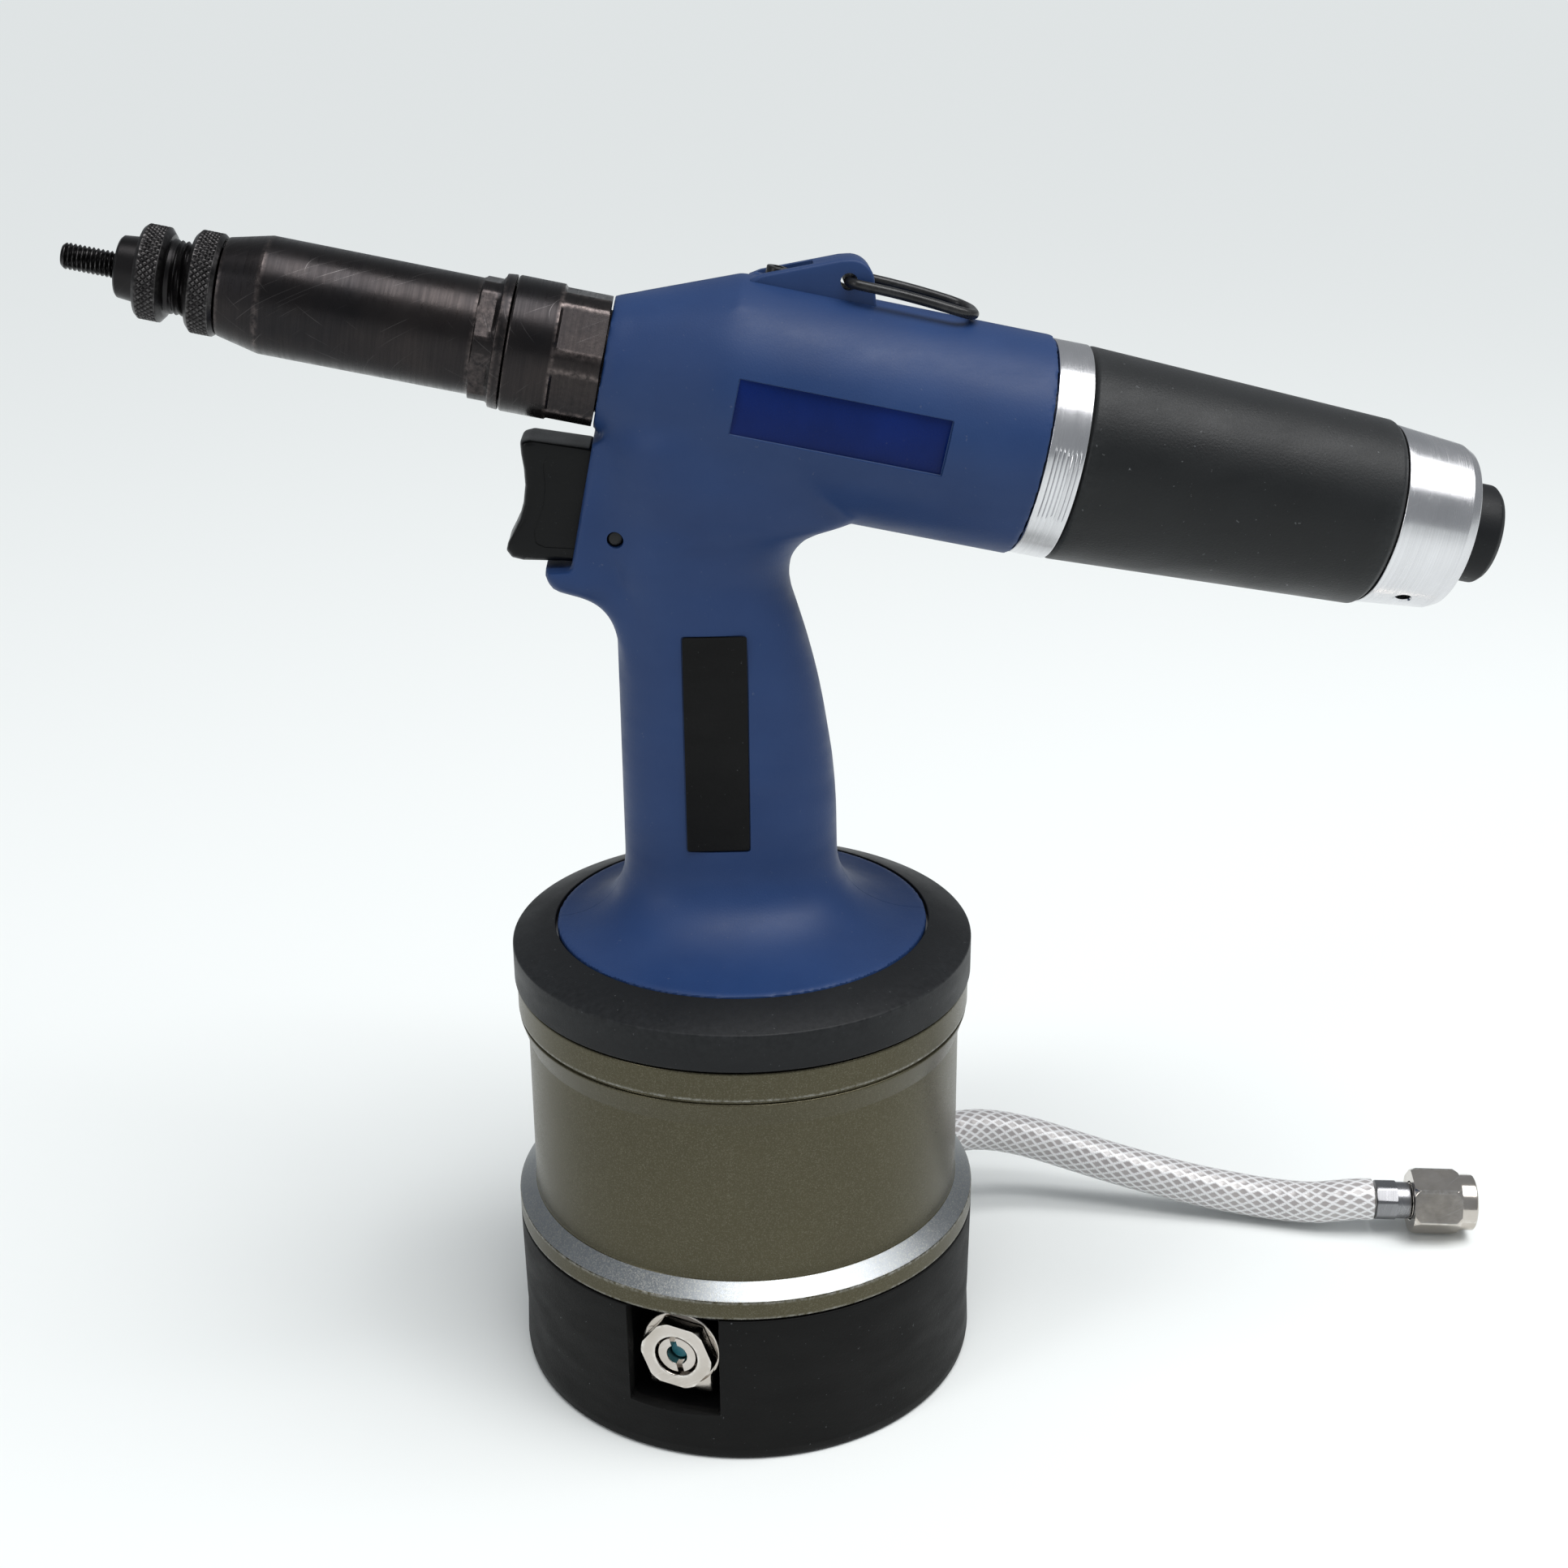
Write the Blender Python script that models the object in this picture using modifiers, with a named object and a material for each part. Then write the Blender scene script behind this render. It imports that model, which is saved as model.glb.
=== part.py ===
"""Air-hydraulic rivet-nut gun, built as an assembly of named solids.

World frame: origin at the centre of the base's underside, +Z up, the nose points to -X.
Sizes are in millimetres and are turned into metres where geometry is made.
The barrel frame is tilted: "along" runs rearwards along the barrel from the base axis,
"up" is square to it, and +Y stays the world's +Y.
"""
import math

import bmesh
import bpy
from mathutils import Matrix, Vector

MM = 0.001
GAP = 0.3

# ---- driving dimensions -------------------------------------------------------------
BARREL_TILT = math.radians(12.0)
BARREL_HEIGHT = 253.4

BASE_R = 59.3
BASE_TOP = 40.7
FLANGE_BOTTOM = 41.0
FLANGE_EDGE = 46.1
FLANGE_TOP = 49.4
CYLINDER_R = 54.7
CYLINDER_BORE = 51.0
COLLAR_R = 56.9
CYLINDER_TOP = 106.8
RING_R = 57.5
RING_BOTTOM = 107.1
RING_TOP = 117.0
FLARE_R = 46.2
FLARE_TOP = 121.2
PISTON_REST = 45.0

HOUSING_R = 25.5
HOUSING_FRONT = -30.0
HOUSING_CREASE = -3.0
HOUSING_REAR = 69.4
SHELL = 3.2
HANDLE_WALL = 2.8
HANDLE_HALF_WIDTH = 17.5

RING_REAR = 78.0
SLEEVE_REAR = 153.4
SLEEVE_FRONT_R = 24.9
SLEEVE_REAR_R = 21.8
CAP_REAR = 173.0
BUTTON_REAR = 182.0
BUTTON_R = 11.7

NOSE_TIP = -138.6
MANDREL_TIP = -151.0
MANDREL_R = 2.95
LOCK_NUT_FRONT = -122.4
LOCK_NUT_REAR = -116.0
BARREL_FRONT = -115.6
BARREL_R = 13.1
COLLAR_FRONT = -54.2
ADAPTER_FRONT = -51.9
ADAPTER_R = 15.3
HEX_FRONT = -41.4

TRIGGER_PIVOT = (-27.8, 221.2)
TRIGGER_HALF_WIDTH = 7.5
BAIL_PIVOT = (20.4, 29.0)
BAIL_WIRE_R = 1.15

WINDOW_TURN = math.radians(-19.3)
WINDOW_HALF = 11.5
REGULATOR_HEIGHT = 26.8
REGULATOR_FACE = 56.2

INLET_TURN = math.radians(40.0)
INLET_HEIGHT = 26.5
HOSE_R = 6.0
NUT_TURN = math.radians(-6.0)
NUT_START = (190.8, 32.6, 9.9)

HOSE_ROUTE = [
    (51.9, 43.55, 26.5), (56.6, 47.2, 26.4), (62.4, 50.6, 25.9), (69.0, 53.1, 24.8),
    (77.0, 54.4, 22.9), (86.0, 54.4, 20.3), (96.0, 53.0, 17.3), (107.0, 50.8, 14.3),
    (119.0, 48.2, 11.5), (131.0, 45.4, 9.2), (143.0, 42.7, 7.6), (154.0, 39.6, 7.0),
    (164.0, 36.6, 7.6), (171.0, 34.9, 9.0), (176.0, 34.16, 9.8), (180.26, 33.71, 9.9),
]

SUN_TEETH = 12
PLANET_TEETH = 12
RING_TEETH = 36
GEAR_MODULE = 0.7

ROUND_BIG = 36
ROUND = 20
ROUND_SMALL = 12


# ---- scene and helpers --------------------------------------------------------------
def clear_scene():
    for item in list(bpy.data.objects):
        bpy.data.objects.remove(item, do_unlink=True)


def make_collection(name):
    collection = bpy.data.collections.new(name)
    bpy.context.scene.collection.children.link(collection)
    return collection


def make_material(name, colour, roughness, metallic):
    material = bpy.data.materials.new(name)
    material.use_nodes = True
    shader = material.node_tree.nodes["Principled BSDF"]
    shader.inputs["Base Color"].default_value = (*colour, 1.0)
    shader.inputs["Roughness"].default_value = roughness
    shader.inputs["Metallic"].default_value = metallic
    return material


def make_frame(name, location, rotation):
    empty = bpy.data.objects.new(name, None)
    empty.location = Vector(location) * MM
    empty.rotation_euler = rotation
    PARTS.objects.link(empty)
    return empty


clear_scene()
PARTS = make_collection("rivet_nut_gun")
CUTTERS = make_collection("cutters")

BLUE = make_material("blue_plastic", (0.030, 0.055, 0.21), 0.5, 0.0)
NAVY = make_material("navy_plate", (0.01, 0.02, 0.12), 0.4, 0.0)
BLACK = make_material("black_plastic", (0.012, 0.013, 0.015), 0.55, 0.0)
RUBBER = make_material("black_rubber", (0.015, 0.015, 0.015), 0.8, 0.0)
BRONZE = make_material("bronze_anodised", (0.14, 0.12, 0.08), 0.35, 0.9)
OXIDE = make_material("black_steel", (0.03, 0.028, 0.027), 0.38, 0.8)
ALUMINIUM = make_material("aluminium", (0.75, 0.75, 0.76), 0.28, 1.0)
STEEL = make_material("steel", (0.5, 0.5, 0.52), 0.3, 1.0)
NICKEL = make_material("nickel", (0.62, 0.58, 0.5), 0.22, 1.0)
BRASS = make_material("brass", (0.7, 0.5, 0.2), 0.3, 1.0)
TEAL = make_material("teal_insert", (0.02, 0.3, 0.35), 0.4, 0.0)
HOSE = make_material("clear_hose", (0.8, 0.8, 0.78), 0.35, 0.0)

WORLD = make_frame("world_frame", (0, 0, 0), (0, 0, 0))
BARREL = make_frame("barrel_frame", (0, 0, BARREL_HEIGHT), (0, BARREL_TILT, 0))
WINDOW = make_frame("window_frame", (0, 0, REGULATOR_HEIGHT), (0, 0, WINDOW_TURN))
INLET = make_frame("inlet_frame", (0, 0, INLET_HEIGHT), (0, 0, INLET_TURN))
HOSE_END = make_frame("hose_end_frame", NUT_START, (0, 0, NUT_TURN))

ALONG_X = (0, math.pi / 2, 0)
ALONG_Y = (math.pi / 2, 0, 0)
UPRIGHT = (0, 0, 0)


def place(name, mesh, material, frame, location=(0, 0, 0), rotation=UPRIGHT):
    """An object at a place in millimetres in one of the frames."""
    item = bpy.data.objects.new(name, mesh)
    item.parent = frame
    item.location = Vector(location) * MM
    item.rotation_euler = rotation
    if material:
        mesh.materials.append(material)
    PARTS.objects.link(item)
    return item


def make_cutter(item):
    """Turn an object into a guide that only shapes others."""
    PARTS.objects.unlink(item)
    CUTTERS.objects.link(item)
    item.hide_render = True
    item.display_type = "WIRE"
    return item


def shape(item, tool, operation="DIFFERENCE"):
    modifier = item.modifiers.new(operation.lower(), "BOOLEAN")
    modifier.operation = operation
    modifier.solver = "EXACT"
    modifier.object = tool
    return item


def weld(item):
    """Close the hairline gaps that rounding leaves after a cut."""
    modifier = item.modifiers.new("weld", "WELD")
    modifier.merge_threshold = 0.00001
    return item


def spin(item, steps):
    modifier = item.modifiers.new("turned", "SCREW")
    modifier.axis = "Z"
    modifier.angle = 2 * math.pi
    modifier.steps = steps
    modifier.render_steps = steps
    modifier.use_merge_vertices = True
    modifier.merge_threshold = 0.00001
    modifier.use_smooth_shade = True
    return item


def profile_mesh(name, points, closed):
    mesh = bpy.data.meshes.new(name)
    verts = [(radius * MM, 0.0, along * MM) for along, radius in points]
    edges = [(i, i + 1) for i in range(len(points) - 1)]
    if closed:
        edges.append((len(points) - 1, 0))
    mesh.from_pydata(verts, edges, [])
    return mesh


def turned(name, outer, inner, material, frame, steps=ROUND, axis=ALONG_X, location=(0, 0, 0)):
    """A turned piece from (along, radius) points listed from the low end to the high end.

    With no inner points it is solid, and its profile starts and ends on the axis.
    """
    if inner:
        points = list(reversed(outer)) + list(inner)
    else:
        points = [(outer[-1][0], 0.0)] + list(reversed(outer)) + [(outer[0][0], 0.0)]
    mesh = profile_mesh(name, points, bool(inner))
    item = place(name, mesh, material, frame, location, axis)
    return spin(item, steps)


def block(name, low, high, material, frame, rotation=UPRIGHT):
    """A box between two corners, in millimetres in its frame."""
    mesh = bpy.data.meshes.new(name)
    form = bmesh.new()
    bmesh.ops.create_cube(form, size=1.0)
    size = Vector(high) - Vector(low)
    middle = (Vector(high) + Vector(low)) / 2
    bmesh.ops.scale(form, vec=size * MM, verts=form.verts)
    form.to_mesh(mesh)
    form.free()
    return place(name, mesh, material, frame, middle, rotation)


def rod(name, radius, start, end, material, frame, steps=ROUND_SMALL, spot=(0, 0), axis=ALONG_X):
    """A plain cylinder or prism along a frame axis, at spot on the two other axes."""
    mesh = bpy.data.meshes.new(name)
    form = bmesh.new()
    bmesh.ops.create_cone(form, cap_ends=True, segments=steps, radius1=radius * MM,
                          radius2=radius * MM, depth=(end - start) * MM)
    form.to_mesh(mesh)
    form.free()
    middle = (start + end) / 2
    if axis == ALONG_X:
        location = (middle, spot[0], spot[1])
    elif axis == ALONG_Y:
        location = (spot[0], middle, spot[1])
    else:
        location = (spot[0], spot[1], middle)
    return place(name, mesh, material, frame, location, axis)


def curve_to_mesh(item, name, material, frame):
    """A real mesh of a curve, with its loose caps welded."""
    bpy.context.view_layer.update()
    evaluated = item.evaluated_get(bpy.context.evaluated_depsgraph_get())
    mesh = bpy.data.meshes.new_from_object(evaluated)
    mesh.materials.clear()
    form = bmesh.new()
    form.from_mesh(mesh)
    bmesh.ops.remove_doubles(form, verts=form.verts, dist=0.000001)
    bmesh.ops.recalc_face_normals(form, faces=form.faces)
    form.to_mesh(mesh)
    form.free()
    result = bpy.data.objects.new(name, mesh)
    mesh.name = name
    mesh.materials.append(material)
    result.parent = frame
    result.location = item.location
    result.rotation_euler = item.rotation_euler
    PARTS.objects.link(result)
    bpy.data.objects.remove(item, do_unlink=True)
    return result


def flat(name, outlines, thickness, material, frame, location=(0, 0, 0), rotation=ALONG_Y):
    """A plate of even thickness from closed outlines; the inner ones are its holes.

    With ALONG_Y an outline's second number runs up the frame's Z and its first along X.
    """
    curve = bpy.data.curves.new(name, "CURVE")
    curve.dimensions = "2D"
    curve.fill_mode = "BOTH"
    curve.extrude = thickness / 2 * MM
    for outline in outlines:
        spline = curve.splines.new("POLY")
        spline.points.add(len(outline) - 1)
        for point, (across, upward) in zip(spline.points, outline):
            point.co = (across * MM, upward * MM, 0.0, 1.0)
        spline.use_cyclic_u = True
    item = bpy.data.objects.new(name + "_outline", curve)
    item.location = Vector(location) * MM
    item.rotation_euler = rotation
    item.parent = frame
    PARTS.objects.link(item)
    return curve_to_mesh(item, name, material, frame)


def wire(name, points, radius, material, frame, resolution=2, cyclic=False):
    curve = bpy.data.curves.new(name, "CURVE")
    curve.dimensions = "3D"
    curve.bevel_depth = radius * MM
    curve.bevel_resolution = resolution
    curve.use_fill_caps = not cyclic
    spline = curve.splines.new("POLY")
    spline.points.add(len(points) - 1)
    for point, spot in zip(spline.points, points):
        point.co = (*(Vector(spot) * MM), 1.0)
    spline.use_cyclic_u = cyclic
    item = bpy.data.objects.new(name, curve)
    item.parent = frame
    curve.materials.append(material)
    PARTS.objects.link(item)
    return item


def smooth_route(points, spacing):
    """Points at even spacing along a Catmull-Rom curve through the given ones."""
    vectors = [Vector(point) for point in points]
    padded = [2 * vectors[0] - vectors[1]] + vectors + [2 * vectors[-1] - vectors[-2]]
    dense = []
    for index in range(1, len(padded) - 2):
        p0, p1, p2, p3 = padded[index - 1:index + 3]
        for step in range(20):
            t = step / 20
            dense.append(0.5 * ((2 * p1) + (p2 - p0) * t + (2 * p0 - 5 * p1 + 4 * p2 - p3) * t * t
                                + (3 * p1 - p0 - 3 * p2 + p3) * t ** 3))
    dense.append(vectors[-1])
    length = sum((b - a).length for a, b in zip(dense, dense[1:]))
    count = max(2, round(length / spacing))
    route = [dense[0]]
    travelled = 0.0
    for a, b in zip(dense, dense[1:]):
        travelled += (b - a).length
        if travelled >= length * len(route) / count and len(route) < count:
            route.append(b)
    route.append(dense[-1])
    return route


def helix(radius, start, end, turns, per_turn=12):
    count = int(turns * per_turn)
    return [(start + (end - start) * i / count,
             radius * math.cos(2 * math.pi * i / per_turn),
             radius * math.sin(2 * math.pi * i / per_turn)) for i in range(count + 1)]


def arc(centre, radius, start, end, count):
    """Points round a centre, in degrees from the first axis towards the second."""
    return [(centre[0] + radius * math.cos(math.radians(start + (end - start) * i / count)),
             centre[1] + radius * math.sin(math.radians(start + (end - start) * i / count)))
            for i in range(count + 1)]


# ---- base: boot, manifold, air cylinder, ring ----------------------------------------
def base_group():
    boot = turned("base_cap", [(0.0, 57.9), (1.6, BASE_R), (BASE_TOP - 0.6, BASE_R), (BASE_TOP, 58.8)],
                  None, BLACK, WORLD, ROUND_BIG, UPRIGHT)
    hollow = make_cutter(rod("boot_hollow", 56.0, 3.0, 60.0, None, WORLD, ROUND_BIG, axis=UPRIGHT))
    shape(boot, hollow)
    window = make_cutter(block("window_cut", (-WINDOW_HALF, -70, -13.6), (WINDOW_HALF, -45, 30),
                               None, WINDOW))
    shape(boot, window)
    port = make_cutter(rod("port_cut", 8.3, 50.0, 70.0, None, INLET))
    shape(boot, port)

    manifold = turned("base_manifold",
                      [(3.4, 55.4), (BASE_TOP - 0.4, 55.4), (BASE_TOP - 0.4, 50.3), (44.4, 50.3)],
                      None, ALUMINIUM, WORLD, ROUND_BIG, UPRIGHT)
    pocket = make_cutter(block("regulator_pocket", (-WINDOW_HALF - 0.8, -70, -14.4),
                               (WINDOW_HALF + 0.8, -37.5, 11.5), None, WINDOW))
    shape(manifold, pocket)
    inlet_bore = make_cutter(rod("inlet_bore", 8.0, 40.0, 70.0, None, INLET))
    shape(manifold, inlet_bore)

    turned("air_cylinder",
           [(FLANGE_BOTTOM, BASE_R), (FLANGE_EDGE, BASE_R), (FLANGE_TOP, CYLINDER_R),
            (92.4, CYLINDER_R), (94.6, 55.6), (98.8, COLLAR_R), (CYLINDER_TOP, COLLAR_R)],
           [(FLANGE_BOTTOM, CYLINDER_BORE), (CYLINDER_TOP, CYLINDER_BORE)],
           BRONZE, WORLD, ROUND_BIG, UPRIGHT)
    turned("cylinder_head_plate",
           [(104.2, 50.4), (RING_BOTTOM, 50.4), (RING_BOTTOM, 54.4), (118.4, 49.8)],
           [(104.2, 6.4), (118.4, 6.4)], ALUMINIUM, WORLD, ROUND_BIG, UPRIGHT)
    turned("top_ring",
           [(RING_BOTTOM, 56.9), (RING_BOTTOM + 0.6, RING_R), (RING_TOP - 0.5, RING_R),
            (RING_TOP, 57.0), (FLARE_TOP, 46.9)],
           [(RING_BOTTOM, 54.9), (118.8, 50.3), (118.8, 46.9)],
           BLACK, WORLD, ROUND_BIG, UPRIGHT)


def regulator_group():
    low = -REGULATOR_FACE
    body = block("regulator_block", (-8.6, low + 1.6, -11.4), (8.6, -38.2, 10.8), NICKEL, WINDOW)
    shoulder = make_cutter(rod("regulator_shoulder", 10.4, low + 3.6, low + 8.0, None, WINDOW,
                               ROUND, axis=ALONG_Y))
    shape(body, shoulder, "UNION")
    seat = make_cutter(rod("regulator_seat_cut", 9.6, low - 1, low + 3.4, None, WINDOW, ROUND,
                           axis=ALONG_Y))
    shape(body, seat)
    bore = make_cutter(rod("regulator_bore", 5.4, low - 5, -45.0, None, WINDOW, axis=ALONG_Y))
    shape(body, bore)
    nut = rod("regulator_nut", 9.1, low, low + 3.1, NICKEL, WINDOW, 6, axis=ALONG_Y)
    shape(nut, bore)
    screw = rod("regulator_screw", 5.0, low + 0.6, -46.0, STEEL, WINDOW, axis=ALONG_Y)
    eye = make_cutter(rod("regulator_eye", 2.55, low - 3, low + 6.0, None, WINDOW, axis=ALONG_Y))
    shape(screw, eye)
    slot = make_cutter(block("regulator_slot", (-0.9, low - 1, -6), (0.9, low + 2.2, 6), None, WINDOW))
    shape(screw, slot)
    rod("regulator_core", 2.2, low + 2.6, low + 5.6, TEAL, WINDOW, axis=ALONG_Y)


def air_end_group():
    turned("air_piston", [(PISTON_REST, 48.6), (PISTON_REST + 1, 50.3), (49.0, 50.3),
                          (49.0, 47.4), (53.0, 47.4), (53.0, 50.3), (56.0, 50.3), (57.0, 49.0)],
           None, ALUMINIUM, WORLD, ROUND_BIG, UPRIGHT)
    turned("piston_seal", [(49.3, 48.6), (50.2, 50.4), (51.8, 50.4), (52.7, 48.6)],
           [(49.3, 47.8), (52.7, 47.8)], RUBBER, WORLD, ROUND_BIG, UPRIGHT)
    rod("piston_rod", 5.5, 57.3, 168.0, STEEL, WORLD, axis=UPRIGHT)
    turned("oil_tube", [(118.8, 10.4), (122.0, 10.4), (122.0, 8.5), (229.0, 8.5)],
           [(118.8, 6.3), (229.0, 6.3)], STEEL, WORLD, ROUND_SMALL, UPRIGHT)
    feed = rod("air_feed_tube", 2.5, 118.8, 212.0, BRASS, WORLD, 12, (-13.6, 0.0), UPRIGHT)
    bore = make_cutter(rod("feed_bore", 1.5, 110.0, 220.0, None, WORLD, 12, (-13.6, 0.0), UPRIGHT))
    shape(feed, bore)


# ---- housing -------------------------------------------------------------------------
def handle_section(height, inset):
    """Centre, half length and half width of the grip at a height, shrunk by inset."""
    front = [(118.0, -28.6), (196.0, -28.6), (206.0, -29.0), (214.0, -31.0), (246.0, -31.0)]
    rear = [(118.0, 23.8), (143.0, 23.8), (157.0, 23.1), (170.0, 21.6), (183.0, 19.4),
            (195.0, 16.4), (203.0, 14.2), (209.0, 12.6), (213.5, 12.8), (217.0, 14.8),
            (219.8, 18.2), (221.4, 23.0), (223.0, 29.0), (246.0, 29.0)]
    width = [(118.0, HANDLE_HALF_WIDTH), (186.0, HANDLE_HALF_WIDTH), (200.0, 17.0),
             (212.0, 17.0), (224.0, 19.5), (234.0, 22.0), (246.0, 23.0)]

    def between(table):
        for (z0, v0), (z1, v1) in zip(table, table[1:]):
            if height <= z1:
                return v0 + (v1 - v0) * (height - z0) / (z1 - z0)
        return table[-1][1]

    x0, x1, half = between(front), between(rear), between(width)
    centre, long = (x0 + x1) / 2, (x1 - x0) / 2
    if height < 140.0:
        reach = min(1.0, max(0.0, (140.0 - height) / (140.0 - FLARE_TOP - 0.8)))
        spread = 1.0 - math.sqrt(max(0.0, 1.0 - reach ** 2.4))
        centre += (0.0 - centre) * spread
        long += (FLARE_R - long) * spread
        half += (FLARE_R - half) * spread
        power = 2.5 + (2.0 - 2.5) * spread
    else:
        power = 2.5
    return centre, long - inset, half - inset, power


def loft(name, heights, inset, material, count=28):
    """Skin between the grip's sections, closed at both ends."""
    form = bmesh.new()
    rings = []
    for height in heights:
        centre, long, half, power = handle_section(height, inset)
        ring = []
        for step in range(count):
            turn = 2 * math.pi * step / count
            c, s = math.cos(turn), math.sin(turn)
            x = centre + long * math.copysign(abs(c) ** (2 / power), c)
            y = half * math.copysign(abs(s) ** (2 / power), s)
            ring.append(form.verts.new((x * MM, y * MM, height * MM)))
        rings.append(ring)
    for lower, upper in zip(rings, rings[1:]):
        for i in range(count):
            j = (i + 1) % count
            form.faces.new((lower[i], lower[j], upper[j], upper[i]))
    form.faces.new(list(reversed(rings[0])))
    form.faces.new(rings[-1])
    mesh = bpy.data.meshes.new(name)
    form.to_mesh(mesh)
    form.free()
    return place(name, mesh, material, WORLD)


HANDLE_HEIGHTS = [118.8, 121.6, 122.6, 124.4, 127.0, 131.0, 135.5, 140.0, 157.0, 170.0,
                  183.0, 196.0, 203.0, 209.0, 213.5, 217.0, 219.8, 221.4, 223.0, 243.0]
INNER_HEIGHTS = [115.0, 121.2, 124.4, 131.0, 140.0, 157.0, 183.0, 196.0, 209.0, 214.0, 224.0,
                 241.0]

WEB_OUTLINE = [(-27.5, 190.0), (-28.7, 197.0), (-30.2, 200.8), (-33.0, 203.8), (-37.0, 205.8),
               (-41.7, 207.0), (-44.4, 207.8), (-45.5, 209.4), (-46.0, 213.2), (-38.6, 213.2),
               (-32.3, 243.2), (-22.0, 247.0), (5.0, 243.0), (5.0, 190.0)]
SLOT_OUTLINE = [(-60.0, 213.5), (-20.5, 213.5), (-20.5, 226.5), (-26.6, 227.5), (-26.6, 242.4),
                (-60.0, 242.4)]
FIN_OUTLINE = ([(-1.5, 23.0), (-0.8, 25.4), (1.0, 26.6), (18.6, 33.7)]
               + arc((20.6, 28.6), 5.5, 95, 15, 6) + [(27.2, 24.0)])
SCREW_SPOTS = [(15.0, 150.0), (-21.5, 150.0), (-21.5, 190.0)]


def housing_tools():
    """Solids that both halves are made from or cut with."""
    tools = {}
    tools["barrel"] = make_cutter(turned(
        "housing_barrel", [(HOUSING_FRONT, 14.9), (HOUSING_CREASE, HOUSING_R - 0.1),
                           (0.0, HOUSING_R), (HOUSING_REAR, HOUSING_R)], None, None, BARREL))
    tools["web"] = make_cutter(flat("housing_web", [WEB_OUTLINE], 23.0, None, WORLD))
    tools["fin"] = make_cutter(flat("housing_fin", [FIN_OUTLINE], 11.0, None, BARREL))
    tools["inner_grip"] = make_cutter(loft("inner_grip", INNER_HEIGHTS, HANDLE_WALL, None, 20))
    tools["inner_barrel"] = make_cutter(turned(
        "inner_barrel", [(-40.0, 12.3), (-28.0, 12.3), (-0.5, HOUSING_R - SHELL),
                         (90.0, HOUSING_R - SHELL)], None, None, BARREL))
    tools["slot"] = make_cutter(flat("trigger_slot", [SLOT_OUTLINE], 16.0, None, WORLD))
    tools["valve_room"] = make_cutter(rod("valve_room", 5.2, -27.5, 0.0, None, WORLD, 16,
                                          (0.0, 232.5)))
    tools["pin_hole"] = make_cutter(rod("pin_hole", 1.95, -40.0, 40.0, None, WORLD, 16,
                                        TRIGGER_PIVOT, ALONG_Y))
    tools["bail_hole"] = make_cutter(rod("bail_hole", 1.95, -20.0, 20.0, None, BARREL, 16,
                                         BAIL_PIVOT, ALONG_Y))
    tools["filler_slot"] = make_cutter(block("filler_slot", (-6, -2.8, 25.6), (11.0, 2.8, 40), None,
                                             BARREL))
    tools["filler_bore"] = make_cutter(rod("filler_bore", 2.9, 18.0, 30.0, None, BARREL, 16,
                                           (4.6, 0.0), UPRIGHT))
    for side, sign in (("left", -1), ("right", 1)):
        tools["plate_" + side] = make_cutter(block(
            "plate_pocket_" + side, (-0.8, min(sign * 23.0, sign * 30), -6.2),
            (48.0, max(sign * 23.0, sign * 30), 6.9), None, BARREL))
        tools["pad_" + side] = make_cutter(block(
            "pad_pocket_" + side, (-13.4, min(sign * 15.4, sign * 30), 145.2),
            (2.2, max(sign * 15.4, sign * 30), 199.4), None, WORLD))
        tools["half_" + side] = make_cutter(block(
            "half_space_" + side, (-120, min(sign * 0.15, -sign * 100), 80),
            (150, max(sign * 0.15, -sign * 100), 330), None, WORLD))
    return tools


def housing_half(side, sign, tools):
    half = loft("housing_" + side, HANDLE_HEIGHTS, 0.0, BLUE)
    for key in ("barrel", "web", "fin"):
        shape(half, tools[key], "UNION")
    for key in ("inner_grip", "inner_barrel"):
        shape(half, tools[key])
    weld(half)
    keys = ["slot", "valve_room", "pin_hole", "bail_hole", "filler_slot", "filler_bore",
            "plate_" + side, "pad_" + side]
    keys += ["screw_%d" % number for number in range(len(SCREW_SPOTS))]
    for key in keys:
        shape(half, tools[key])
        weld(half)
    shape(half, tools["half_" + side])
    weld(half)
    return half


def housing_group():
    tools = housing_tools()
    for number, (x, z) in enumerate(SCREW_SPOTS):
        post = make_cutter(rod("post_%d" % number, 4.2, -40.0, 40.0, None, WORLD, 12, (x, z), ALONG_Y))
        shape(tools["inner_grip"], post)
        tools["screw_%d" % number] = make_cutter(turned(
            "screw_hole_%d" % number, [(-30.0, 3.6), (-11.5, 3.6), (-11.5, 2.1), (9.0, 2.1)],
            None, None, WORLD, 12, ALONG_Y, (x, 0, z)))
    housing_half("left", -1, tools)
    housing_half("right", 1, tools)
    for side, sign in (("left", -1), ("right", 1)):
        inner, outer = sorted((sign * 23.3, sign * 24.1))
        block("nameplate_" + side, (-0.5, inner, -5.9), (47.7, outer, 6.6), NAVY, BARREL)
        inner, outer = sorted((sign * 15.7, sign * 16.75))
        block("grip_pad_" + side, (-13.1, inner, 145.5), (1.9, outer, 199.1), RUBBER, WORLD)
    for number, (x, z) in enumerate(SCREW_SPOTS):
        turned("housing_screw_%d" % (number + 1), [(-13.6, 3.3), (-11.8, 3.3), (-11.8, 1.7), (8.0, 1.7)],
               None, STEEL, WORLD, 12, ALONG_Y, (x, 0, z))


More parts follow.
